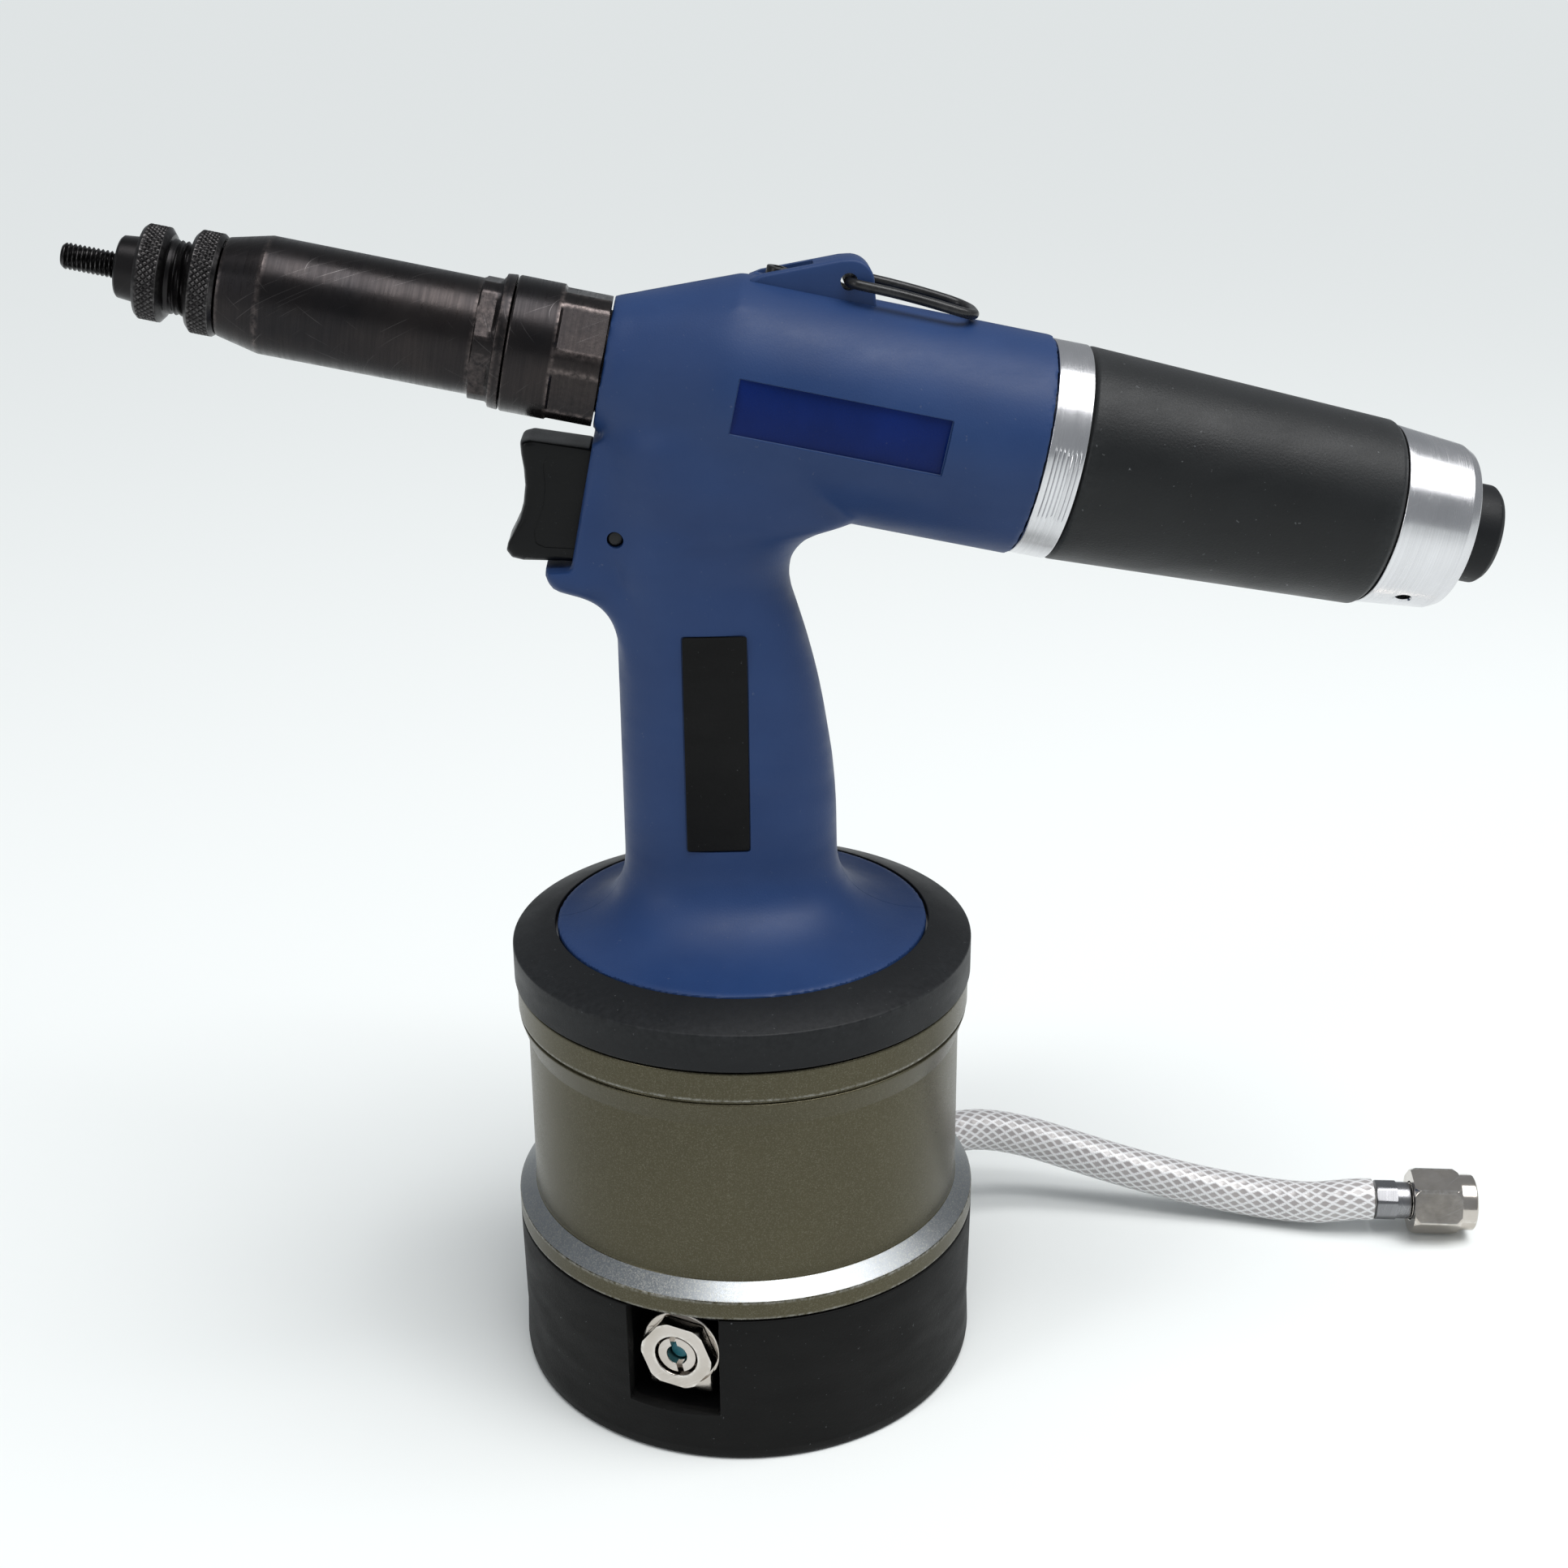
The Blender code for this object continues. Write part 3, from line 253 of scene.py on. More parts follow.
TURNED = metal("turned_aluminium", (0.88, 0.88, 0.89), (0.82, 0.82, 0.83), 0.22, 1, BARREL_TURN,
    (5200, 25, 25), 0.00001, scratch=0.2, worn=(0.97, 0.97, 0.98), worn_rough=0.16, spread=0.04,
    anisotropic=0.3)
STEEL = metal("inner_steel", (0.52, 0.52, 0.53), (0.60, 0.60, 0.61), 0.30, 1, BARREL_TURN,
    (2600, 40, 40), 0.000006, scratch=0.2)
ALLOY = metal("inner_aluminium", (0.70, 0.70, 0.71), (0.76, 0.76, 0.77), 0.34, 1, grain=1500,
    scratch=0.2)
DARK = metal("dark_alloy", (0.09, 0.09, 0.095), (0.12, 0.12, 0.125), 0.45, 0.7, grain=1500)
NICKEL = metal("nickel", (0.72, 0.69, 0.65), (0.80, 0.775, 0.75), 0.18, 1, grain=900,
    grain_depth=0.000006, worn=(0.96, 0.95, 0.93), worn_rough=0.12, scratch=0.25, cloud=90)
BRASS = metal("brass", (0.75, 0.58, 0.30), (0.80, 0.64, 0.36), 0.30, 1, scratch=0.2)
WIRE = moulded("black_wire", (0.06, 0.06, 0.065), (0.09, 0.09, 0.095), 0.30, 1300, 0.00002, 0.05,
    specular=0.35)
TEAL = moulded("teal_insert", (0.05, 0.36, 0.42), (0.09, 0.50, 0.55), 0.35, 1500, 0.00001, 0)


def braid_material():
    """Clear sleeve over a white braid; the weave's height is kept at each point."""
    n = Nodes("braided_hose")
    weave = n.add("ShaderNodeAttribute", attribute_name="weave").outputs["Fac"]
    gaps = n.ramp(weave, 0.25, 0.62)
    hazy = n.ramp(n.noise(120, 4), 0.3, 0.7, 0, 0.5)
    base = n.mix(hazy, linear((0.62, 0.60, 0.60)), linear((0.70, 0.68, 0.67)))
    tone = n.mix(gaps, base, linear((0.90, 0.90, 0.905)))
    n.wire(Base_Color=tone, Roughness=n.ramp(weave, 0.2, 0.8, 0.30, 0.42),
        Normal=n.bump(n.noise(1400, 3), 0.00002))
    n.put(Coat_Weight=0.9, Coat_Roughness=0.12, Subsurface_Weight=0.15,
        Subsurface_Radius=(0.002, 0.002, 0.002))
    return n.material


BRAID = braid_material()


# ---- geometry helpers ----
def holder(name, mesh):
    item = bpy.data.objects.new(name, mesh)
    bpy.context.scene.collection.objects.link(item)
    return item


def mesh_from(name, points, faces, matrix, weld=0, **layers):
    """A mesh with its faces turned outwards, from points in millimetres in a frame."""
    mesh = bpy.data.meshes.new(name)
    mesh.from_pydata([MM * (matrix @ Vector(p)) for p in points], [], faces)
    for key, values in layers.items():
        if values is not None:
            layer = mesh.attributes.new(key, "FLOAT", "POINT")
            layer.data.foreach_set("value", np.asarray(values, dtype=np.float32))
    form = bmesh.new()
    form.from_mesh(mesh)
    if weld:
        bmesh.ops.remove_doubles(form, verts=form.verts, dist=weld)
    bmesh.ops.recalc_face_normals(form, faces=form.faces)
    form.to_mesh(mesh)
    form.free()
    return mesh


def raw(name, points, faces, matrix=PLAIN):
    return holder(name, mesh_from(name, points, faces, matrix, 0.0000005))


def register(name, mesh, material, body, node, smooth=32):
    """A finished piece that rides on a body and stands for a CAD node."""
    mesh.shade_smooth()
    mesh.set_sharp_from_angle(angle=radians(smooth))
    item = holder(name, mesh)
    mesh.materials.clear()
    mesh.materials.append(material)
    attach(item, body)
    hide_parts(node)
    return item


def rounded(points, radius, count=3, closed=False):
    """The same outline with its corners turned into small arcs."""
    result = []
    total = len(points)
    for i, point in enumerate(points):
        if not closed and i in (0, total - 1):
            result.append(tuple(point[:2]))
            continue
        before = Vector(points[i - 1][:2])
        here = Vector(point[:2])
        after = Vector(points[(i + 1) % total][:2])
        a, b = before - here, after - here
        if a.length < 1e-6 or b.length < 1e-6:
            continue
        turn = a.angle(b)
        if turn > radians(172):
            result.append(tuple(here))
            continue
        own = point[2] if len(point) > 2 else radius
        back = min(own / tan(turn / 2), a.length * 0.45, b.length * 0.45)
        start, end = here + a.normalized() * back, here + b.normalized() * back
        for step in range(count + 1):
            t = step / count
            result.append(tuple((1 - t) ** 2 * start + 2 * t * (1 - t) * here + t * t * end))
    return result


def dense(points, spacing, closed=False):
    result = []
    loop = list(points) + ([points[0]] if closed else [])
    for (a0, r0), (a1, r1) in zip(loop, loop[1:]):
        count = max(1, int(hypot(a1 - a0, r1 - r0) / spacing))
        for i in range(count):
            result.append((a0 + (a1 - a0) * i / count, r0 + (r1 - r0) * i / count))
    if not closed:
        result.append(points[-1])
    return result


def lathe_data(profile, steps, shape=None, closed=False, wear=None):
    """Points, faces and wear of a turned surface; shape(a, r, turn) may change the radius."""
    points, faces, worn, rings = [], [], [], []
    for along, radius in profile:
        if radius < 1e-6:
            rings.append([len(points)])
            points.append((along, 0, 0))
            worn.append(0)
            continue
        ring = []
        for j in range(steps):
            turn = 2 * pi * j / steps
            r = shape(along, radius, turn) if shape else radius
            ring.append(len(points))
            points.append((along, r * sin(turn), r * cos(turn)))
            worn.append(wear(along, r, turn) if wear else 0)
        rings.append(ring)
    pairs = list(zip(rings, rings[1:])) + ([(rings[-1], rings[0])] if closed else [])
    for low, high in pairs:
        for j in range(steps):
            k = (j + 1) % steps
            if len(low) == 1:
                faces.append((low[0], high[k], high[j]))
            elif len(high) == 1:
                faces.append((low[j], low[k], high[0]))
            else:
                faces.append((low[j], low[k], high[k], high[j]))
    return points, faces, worn


def edge_wear(corners, reach, amount):
    """Wear that fades with the distance from each outer corner of a turned profile."""
    def worn(along, radius, turn):
        near = min(hypot(along - a, radius - r) for a, r in corners)
        return amount * max(0, 1.0 - near / reach)
    return worn


def turned(name, outer, inner, material, body, node, steps=128, matrix=BARREL, round_by=0.35,
        shape=None, worn_edges=(), reach=0.6, amount=0.7, spacing=None, smooth=40, wear=None):
    """A turned piece; outer runs from the low end to the high end, inner comes back."""
    if inner:
        profile = rounded(list(outer) + list(reversed(inner)), round_by, 3, True)
    else:
        profile = rounded([(outer[0][0], 0)] + list(outer) + [(outer[-1][0], 0)], round_by)
    if spacing:
        profile = dense(profile, spacing, bool(inner))
    if wear is None and worn_edges:
        wear = edge_wear(worn_edges, reach, amount)
    points, faces, worn = lathe_data(profile, steps, shape, bool(inner), wear)
    mesh = mesh_from(name, points, faces, matrix, wear=worn)
    return register(name, mesh, material, body, node, smooth)


def from_flat(angle, start=0, flats=6):
    """The angle from the middle of the nearest flat of a bar."""
    return (angle - start + pi / flats) % (2 * pi / flats) - pi / flats


def hexed(apothem, turn, start, end=1e9):
    """Keeps a turned radius inside a hexagonal bar between two places."""
    def shape(along, radius, angle):
        if not start <= along <= end:
            return radius
        return min(radius, apothem / cos(from_flat(angle, turn)))
    return shape


def skin_faces(rings, count, caps=True):
    """Faces between rings of the same number of points, with a cap at each end."""
    faces = [(i * count + j, i * count + (j + 1) % count, (i + 1) * count + (j + 1) % count,
        (i + 1) * count + j) for i in range(rings - 1) for j in range(count)]
    if caps:
        faces += [tuple(range(count)), tuple((rings - 1) * count + j for j in range(count))]
    return faces


def mesh_of(item):
    """The evaluated mesh of an object, which is then removed."""
    bpy.context.view_layer.update()
    evaluated = item.evaluated_get(bpy.context.evaluated_depsgraph_get())
    mesh = bpy.data.meshes.new_from_object(evaluated)
    bpy.data.objects.remove(item, do_unlink=True)
    return mesh


def plate(name, outline, low, high, matrix=PLAIN, bevel=0, segments=3):
    """An outline in (along, up) made solid across Y between low and high."""
    points = [(a, y, h) for y in (low, high) for a, h in outline]
    item = raw(name, points, skin_faces(2, len(outline)), matrix)
    if bevel:
        modifier = item.modifiers.new("bevel", "BEVEL")
        modifier.width = bevel * MM
        modifier.segments = segments
        modifier.limit_method = "ANGLE"
        modifier.angle_limit = radians(40)
    return item


def box(name, low, high, matrix, bevel=0):
    outline = [(low[0], low[2]), (high[0], low[2]), (high[0], high[2]), (low[0], high[2])]
    return plate(name, outline, low[1], high[1], matrix, bevel)


def paired(side, near, far):
    return sorted((side * near, side * far))


def combine(item, tools, operation="DIFFERENCE"):
    """An object with tools cut from it, or joined to it, as a mesh."""
    for tool in tools:
        modifier = item.modifiers.new("cut", "BOOLEAN")
        modifier.operation = operation
        modifier.solver = "EXACT"
        modifier.object = tool
    mesh = mesh_of(item)
    for tool in tools:
        bpy.data.objects.remove(tool, do_unlink=True)
    return mesh


def lathe_raw(name, profile, steps, matrix):
    points, faces, _ = lathe_data(profile, steps)
    return raw(name, points, faces, matrix)


def bored(name, low, high, radius, steps, matrix):
    """A plain round bar, used as a cutter or a collar."""
    return lathe_raw(name, [(low, 0), (low, radius), (high, radius), (high, 0)], steps, matrix)


def smooth_points(points, spacing, closed=False):
    """Evenly spaced points on a smooth curve through the given ones."""
    vectors = [Vector(p) for p in points]
    if closed:
        padded = [vectors[-1]] + vectors + vectors[:2]
    else:
        padded = [2 * vectors[0] - vectors[1]] + vectors + [2 * vectors[-1] - vectors[-2]]
    fine = []
    for index in range(1, len(padded) - 2):
        p0, p1, p2, p3 = padded[index - 1:index + 3]
        for step in range(24):
            t = step / 24
            fine.append(0.5 * ((2 * p1) + (p2 - p0) * t + (2 * p0 - 5 * p1 + 4 * p2 - p3) * t * t
                + (3 * p1 - p0 - 3 * p2 + p3) * t ** 3))
    fine.append(vectors[0] if closed else vectors[-1])
    lengths = [0]
    for a, b in zip(fine, fine[1:]):
        lengths.append(lengths[-1] + (b - a).length)
    count = max(2, round(lengths[-1] / spacing))
    result, index = [], 0
    for step in range(count + (0 if closed else 1)):
        goal = lengths[-1] * step / count
        while index < len(lengths) - 2 and lengths[index + 1] < goal:
            index += 1
        share = (goal - lengths[index]) / max(1e-9, lengths[index + 1] - lengths[index])
        result.append(fine[index].lerp(fine[index + 1], min(1, share)))
    return result


def tube_data(path, radius, sides, closed=False):
    """A tube along a path; radius(length, turn) gives its radius and the height of its weave."""
    points, heights = [], []
    total = len(path)
    up = Vector((0, 0, 1))
    length = 0.0
    for i, spot in enumerate(path):
        before = path[i - 1] if (i or closed) else path[0]
        after = path[(i + 1) % total] if (i < total - 1 or closed) else path[-1]
        along = (after - before).normalized()
        side = along.cross(up).normalized()
        top = side.cross(along).normalized()
        if i:
            length += (spot - path[i - 1]).length
        for j in range(sides):
            turn = 2 * pi * j / sides
            r, height = radius(length, turn)
            points.append(tuple(spot + side * (r * sin(turn)) + top * (r * cos(turn))))
            heights.append(height)
    faces = skin_faces(total, sides, not closed)
    if closed:
        last = (total - 1) * sides
        faces += [(last + j, last + (j + 1) % sides, (j + 1) % sides, j) for j in range(sides)]
    return points, faces, heights


# ---- base ----
def base_pieces():
    outline = rounded([(0, 0), (0, 58.9, 2.6), (3, 59.25, 2), (12.5, 58.85, 4),
        (16, 58.95, 3), (40.7, 59.3, 0.5), (40.7, 56, 0.3), (3, 56, 1),
        (3, 0)], 0.5, 4)
    boot = lathe_raw("boot", dense(outline, 6), 192, UPRIGHT)
    hole = plate("window", [(38, -13.8), (38, 16), (70, 16), (70, -13.8)], -11.6, 11.6,
        WINDOW, 1.4)
    lead = []
    for along, half, low in ((57.2, 11.5, -13.7), (62, 13.9, -15.4)):
        lead += [(along, -half, low), (along, half, low), (along, half, 18), (along, -half, 18)]
    chamfer = raw("window_edge", lead, skin_faces(2, 4), WINDOW)
    port = bored("port", 50, 75, 8.4, 48, INLET)
    mesh = combine(holder("boot_shell", mesh_of(boot)), [hole, chamfer, port])
    register("boot", mesh, BOOT, "root", "base_cap", 34)

    turned("cylinder_shell",
        [(41, 58.9), (41.5, BRONZE_R), (46.1, BRONZE_R, 0.5), (49.4, 54.85, 0.5),
        (91.9, 54.7, 0.25), (98.35, 56.75, 0.5), (98.6, 56.1, 0.2), (99.15, 56.1, 0.2),
        (99.4, 56.9, 0.45), (106.8, 56.9, 0.5)], [(41, 51.2), (106.8, 51.2)], BRONZE,
        "root", "air_cylinder", 192, UPRIGHT, 0.3,
        worn_edges=[(46.1, BRONZE_R), (99.5, 56.9), (41.4, BRONZE_R)], reach=0.7, amount=0.55,
        spacing=0.5)
    turned("top_ring_shell",
        [(107.1, 56.8), (107.7, 57.5, 0.4), (116.9, 57.5, 0.6), (121.15, 46.75, 0.3)],
        [(107.1, 54.9), (118.8, 50.3), (118.8, 46.75)], BLACK, "root", "top_ring", 192,
        UPRIGHT, 0.4, worn_edges=[(116.9, 57.5)], reach=0.7, amount=0.5)


def bright_bevel():
    """The machined bevel on the cylinder's flange has a bare, sparkling finish."""
    mesh = bpy.data.objects["cylinder_shell"].data
    mesh.materials.append(BEVEL)
    for face in mesh.polygons:
        centre = face.center / MM
        if 46.25 < centre.z < 49.25 and abs(face.normal.z) > 0.3:
            face.material_index = 1


def regulator_pieces():
    low = VALVE_FACE
    block = box("valve_body_box", (38.4, -8.6, -11.2), (low - 2.6, 8.6, 5), WINDOW, 1.2)
    collar = lathe_raw("valve_collar", rounded([(low - 8.6, 0), (low - 8.6, 10.3), (low - 3.6,
        10.3),
        (low - 3.6, 0)], 0.6), 96, WINDOW)
    mesh = combine(block, [collar], "UNION")
    seat = bored("seat", low - 3.5, low + 4, 9.7, 96, WINDOW)
    bore = bored("bore", 44, low + 4, 5.45, 64, WINDOW)
    mesh = combine(holder("valve_mass", mesh), [seat, bore])
    register("valve_block", mesh, NICKEL, "root", "regulator_block", 34)
    turned("valve_nut", [(low - 3.2, 9.7), (low, 9.7)], [(low - 3.2, 5.5), (low, 5.5)], NICKEL,
        "regulator_nut", "regulator_nut", 192, WINDOW, 0.3, spacing=0.25,
        shape=chamfered_hex(low - 0.1, 8.5, 9.65), worn_edges=[(low, 9), (low, 5.6)], reach=0.8,
        amount=0.9)
    screw = lathe_raw("screw_mass", rounded([(46.4, 0), (46.4, 4.9), (low - 0.6, 4.9), (low - 0.6,
        2.6),
        (low - 6, 2.6), (low - 6, 0)], 0.25), 64, WINDOW)
    slot = box("screw_slot", (low - 2.6, -0.8, -7), (low + 3, 0.8, 7),
        WINDOW @ spun(13, "X"))
    mesh = combine(screw, [slot])
    register("valve_screw", mesh, NICKEL, "regulator_screw", "regulator_screw", 34)
    turned("valve_core", [(low - 5.6, 2.3), (low - 3, 2.3, 0.5)], None, TEAL, "regulator_screw",
        "regulator_core", 48, WINDOW, 0.3)


def chamfered_hex(face, apothem, corner, turn=radians(8)):
    """A hexagon whose corners are turned back towards a face."""
    def shape(along, radius, angle):
        if radius < apothem * 0.7:
            return radius
        limit = apothem / cos(from_flat(angle, turn))
        back = max(0, 1.1 - (face - along)) * 0.6
        return min(radius, limit, corner - back + 0.15)
    return shape


# ---- housing ----
FRONT = [(118, -28.6), (196, -28.6), (206, -29.2), (214, -31), (246, -31)]
REAR = [(118, 23.8), (139, 23.8), (151, 23.6), (157.7, 23.2), (164, 22.6), (170.4, 21.6),
    (176.7, 20.6), (183, 19.4), (189, 18), (195.3, 16.3), (201.4, 14.4), (206, 12.9),
    (209.4, 12.35), (212, 12.4), (214.6, 13), (217, 14.4), (219.2, 16.6), (220.9, 19.6),
    (222.2, 24), (224, 31), (246, 32)]
WIDTH = [(118, 17.5), (186, 17.5), (200, 17.2), (210, 17.4), (218, 18.4), (226, 20.2),
    (234, 22), (246, 23)]


def between(table, height):
    for (z0, v0), (z1, v1) in zip(table, table[1:]):
        if height <= z1:
            return v0 + (v1 - v0) * (height - z0) / (z1 - z0)
    return table[-1][1]


def grip_section(height):
    """Centre, half length, half width and squareness of the grip at a height."""
    x0, x1, half = between(FRONT, height), between(REAR, height), between(WIDTH, height)
    centre, long = (x0 + x1) / 2, (x1 - x0) / 2
    power = 2.5
    if height < 141.0:
        reach = min(1, max(0, (141.0 - height) / 19.6))
        spread = 1.0 - sqrt(max(0, 1.0 - reach ** 2.5))
        centre -= centre * spread
        long += (46.2 - long) * spread
        half += (46.2 - half) * spread
        power -= 0.5 * spread
    return centre, long, half, power


def lofted(name, outline, half, stations, shift):
    """An outline carried across Y, each point moved by shift(x, z, share of the half width)."""
    points = []
    for i in range(stations + 1):
        across = half * sin(pi * (i / stations - 0.5))
        for x, z in outline:
            dx, dz = shift(x, z, abs(across) / half)
            points.append((x + dx, across, z + dz))
    return raw(name, points, skin_faces(stations + 1, len(outline)))


def bulge(share, power):
    return 1.0 - (1.0 - min(1, share) ** power) ** (1.0 / power)


def lip(x, z, share):
    """Rounds the finger rest's underside and front towards its sides."""
    if z > 213.25:
        return (1.2 * bulge(share, 5), 0) if x < -31.0 else (0, 0)
    lift = min(4.2, 213.0 - z) if x < -34.0 else 4.2 * min(1, max(0, (z - 190) / 10))
    return (1.6 * bulge(share, 3) if x < -42.0 else 0), lift * bulge(share, 2.2)


def housing_mesh():
    """One skin for grip, barrel and trigger web, with its inner corners blended."""
    heights = [118.8, 120.6, 121.3] + [121.4 + 1.2 * (i / 12) ** 1.6 for i in range(1, 13)]
    heights += [122.6 + 18.4 * i / 26 for i in range(1, 27)]
    heights += [141.0 + 105.0 * i / 60 for i in range(1, 61)]
    points, count = [], 128
    for height in heights:
        centre, long, half, power = grip_section(height)
        for step in range(count):
            turn = 2 * pi * step / count
            c, s = cos(turn), sin(turn)
            points.append((centre + long * copysign(abs(c) ** (2 / power), c),
                half * copysign(abs(s) ** (2 / power), s), height))
    grip = raw("grip_form", points, skin_faces(len(heights), count))
    barrel = lathe_raw("barrel_form", rounded([(-30, 0), (-30, 14.9, 0.4), (-3, 25.3, 0.5),
        (0, 25.45, 0.5), (69.4, 25.5, 0.5), (69.4, 0)], 0.4), 160, BARREL)
    web = [(-18, 184), (-26.4, 188.5), (-28.2, 194.5), (-29.3, 199.2), (-31.4, 202.2), (-33.6, 204),
        (-36.3, 205.3), (-39, 206.1), (-41.2, 206.8), (-43, 207.7), (-44.1, 209.4),
        (-44.7, 212.3), (-44.2, 213.2), (-38.5, 213.3), (-32.25, 243.2), (-22, 247),
        (5, 243), (5, 188)]
    front = lofted("web_form", web, 11.5, 24, lip)
    item = holder("skin", combine(grip, [barrel, front], "UNION"))
    remesh = item.modifiers.new("remesh", "REMESH")
    remesh.mode = "VOXEL"
    remesh.voxel_size = 0.00075
    item = holder("skin", mesh_of(item))
    blend_corners(item.data)
    return item


def fade(value, start, span):
    """From 0 at a start to 1 a span later; a negative span runs the other way."""
    return np.clip((value - start) / span, 0, 1)


def blend_corners(mesh):
    """Smooths the skin only where the grip, the web and the barrel run into each other."""
    count = len(mesh.vertices)
    spots = np.empty(count * 3)
    mesh.vertices.foreach_get("co", spots)
    spots = spots.reshape(-1, 3)
    ends = np.empty(len(mesh.edges) * 2, dtype=np.int64)
    mesh.edges.foreach_get("vertices", ends)
    ends = ends.reshape(-1, 2)
    x, y, z = (spots / MM).T
    side = np.abs(y)
    along = x * cos(TILT) - (z - BARREL_Z) * sin(TILT)
    up = x * sin(TILT) + (z - BARREL_Z) * cos(TILT)
    radius = np.interp(along, [-30, -3, 0, 69.4], [14.9, 25.3, 25.45, 25.5])
    to_barrel = np.abs(np.hypot(y, up) - radius)
    index = np.linspace(118, 246, 257)
    table = np.array([grip_section(height) for height in index])
    centre, long, half = (np.interp(z, index, table[:, k]) for k in range(3))
    level = (np.abs((x - centre) / long) ** 2.5 + (side / half) ** 2.5) ** 0.4
    to_grip = np.abs(level - 1) * np.minimum(long, half)
    near = fade(np.maximum(to_barrel, to_grip), 8, -8)
    near *= fade(z, 205, 6) * fade(along, -27.5, 3)
    rear = np.maximum(fade(side, 10, 8), 0.02) * np.maximum(fade(x, 20, -14), 0.05)
    near *= np.where(x > 4, rear, 1)
    web = fade(np.abs(x + 27), 8, -8) * fade(z, 189, 6) * fade(side, 4.8, 4)
    web *= fade(z, 244, -6) * np.maximum(fade(z, 214.5, 3), 0.06)
    root = fade(x, -36, 4) * fade(x, -17, -4) * fade(side, 4, 4)
    root *= fade(z, 210, -5) * fade(z, 181, 5)
    web = np.maximum(web, root)
    general = 0.08 * fade(z, 122.5, 2) * fade(z, 204, -8)
    # Flat ends and the seat on the base stay where they are.
    flat_end = (along > 67.5) | (along < -29.2)
    weight = np.clip(np.maximum(np.maximum(near * 1.4, web), general), 0, 1)
    weight[flat_end] = 0.0
    weight = weight[:, None]
    degree = np.bincount(ends.ravel(), minlength=count)[:, None]
    polish = np.where(flat_end | (z < 122), 0, 0.35)[:, None]
    for share, rounds in ((weight, 110), (polish, 5)):
        for _ in range(rounds):
            total = np.zeros_like(spots)
            for axis in range(3):
                total[:, axis] = (np.bincount(ends[:, 0], spots[ends[:, 1], axis], count)
                    + np.bincount(ends[:, 1], spots[ends[:, 0], axis], count))
            spots += 0.5 * share * (total / degree - spots)
    mesh.vertices.foreach_set("co", spots.ravel())
    mesh.update()


def arc(centre, radius, start, end, count):
    return [(centre[0] + radius * cos(radians(start + (end - start) * i / count)),
        centre[1] + radius * sin(radians(start + (end - start) * i / count)))
        for i in range(count + 1)]


def housing_pieces():
    skin = housing_mesh()
    outline = ([(-3, 22), (-1.2, 25.2), (1, 26.6), (17.6, 33.3)] + arc((20.9, 28.7), 5.3, 108, 8,
        10)
        + [(27.4, 25.4), (28.6, 23.6)])
    fin = plate("fin", outline, -5.5, 5.5, BARREL, 0.7, 3)
    cuts = [box("filler_slot", (-8, -2.75, 25.7), (12, 2.75, 45), BARREL, 0.5)]
    cuts.append(plate("trigger_slot", rounded([(-60, 213.5), (-20.5, 213.5, 1), (-20.5, 226.5),
        (-26.6, 227.5), (-26.6, 242.5, 1), (-60, 242.5)], 1, 3, True), -8, 8))
    for name, spot, matrix, reach in (("pin", TRIGGER_PIN, PLAIN, 30), ("bail", BAIL_PIN, BARREL,
            12)):
        cuts.append(plate(name + "_hole", arc(spot, 1.95, 0, 345, 23), -reach, reach, matrix))
    for low, high in ((-30, -23.85), (23.85, 30)):
        cuts.append(box("plate_pocket", (-0.5, low, -6), (47.6, high, 6.7), BARREL, 0.35))
    for low, high in ((-25, -16.6), (16.6, 25)):
        cuts.append(plate("pad_pocket", rounded([(-13.4, 145.2), (2.1, 145.2), (2.1, 199.3),
            (-13.4, 199.3)], 0.8, 3, True), low, high))
    for x, z in CASE_SCREWS:
        cuts.append(bored("screw_hole", 11.6, 30, 3.7, 32, at(x, 0, z) @ SIDEWAYS))
    cuts.append(bored("filler_well", 18, 27, 2.95, 32, BARREL @ at(FILLER_AT, 0, 0) @ UPRIGHT))
    cuts.append(bored("nose_bore", -45, -27.4, 12.3, 64, BARREL))
    joined = combine(skin, [fin], "UNION")
    whole = combine(holder("whole", joined), cuts)
    for side, sign in (("left", -1), ("right", 1)):
        form = bmesh.new()
        form.from_mesh(whole)
        geometry = form.verts[:] + form.edges[:] + form.faces[:]
        result = bmesh.ops.bisect_plane(form, geom=geometry, plane_co=(0, sign * 0.06 * MM, 0),
            plane_no=(0, -sign, 0), clear_outer=True)
        edges = [e for e in result["geom_cut"] if isinstance(e, bmesh.types.BMEdge)]
        bmesh.ops.triangle_fill(form, edges=edges, use_beauty=True, use_dissolve=False)
        bmesh.ops.recalc_face_normals(form, faces=form.faces)
        mesh = bpy.data.meshes.new("shell_" + side)
        form.to_mesh(mesh)
        form.free()
        register("shell_" + side, mesh, BLUE, "root", "housing_" + side, 38)
        low, high = paired(sign, 23.3, 23.9)
        label = box("inset", (-0.3, low, -5.8), (47.4, high, 6.5), BARREL, 0.15)
        register("label_inset_" + side, mesh_of(label), NAVY, "root", "nameplate_" + side)
        low, high = paired(sign, 15.8, 17.62)
        pad = plate("pad", rounded([(-13.1, 145.5), (1.85, 145.5), (1.85, 199), (-13.1, 199)], 0.7,
            3, True), low, high, bevel=0.3, segments=2)
        register("grip_insert_" + side, mesh_of(pad), PAD, "root", "grip_pad_" + side)


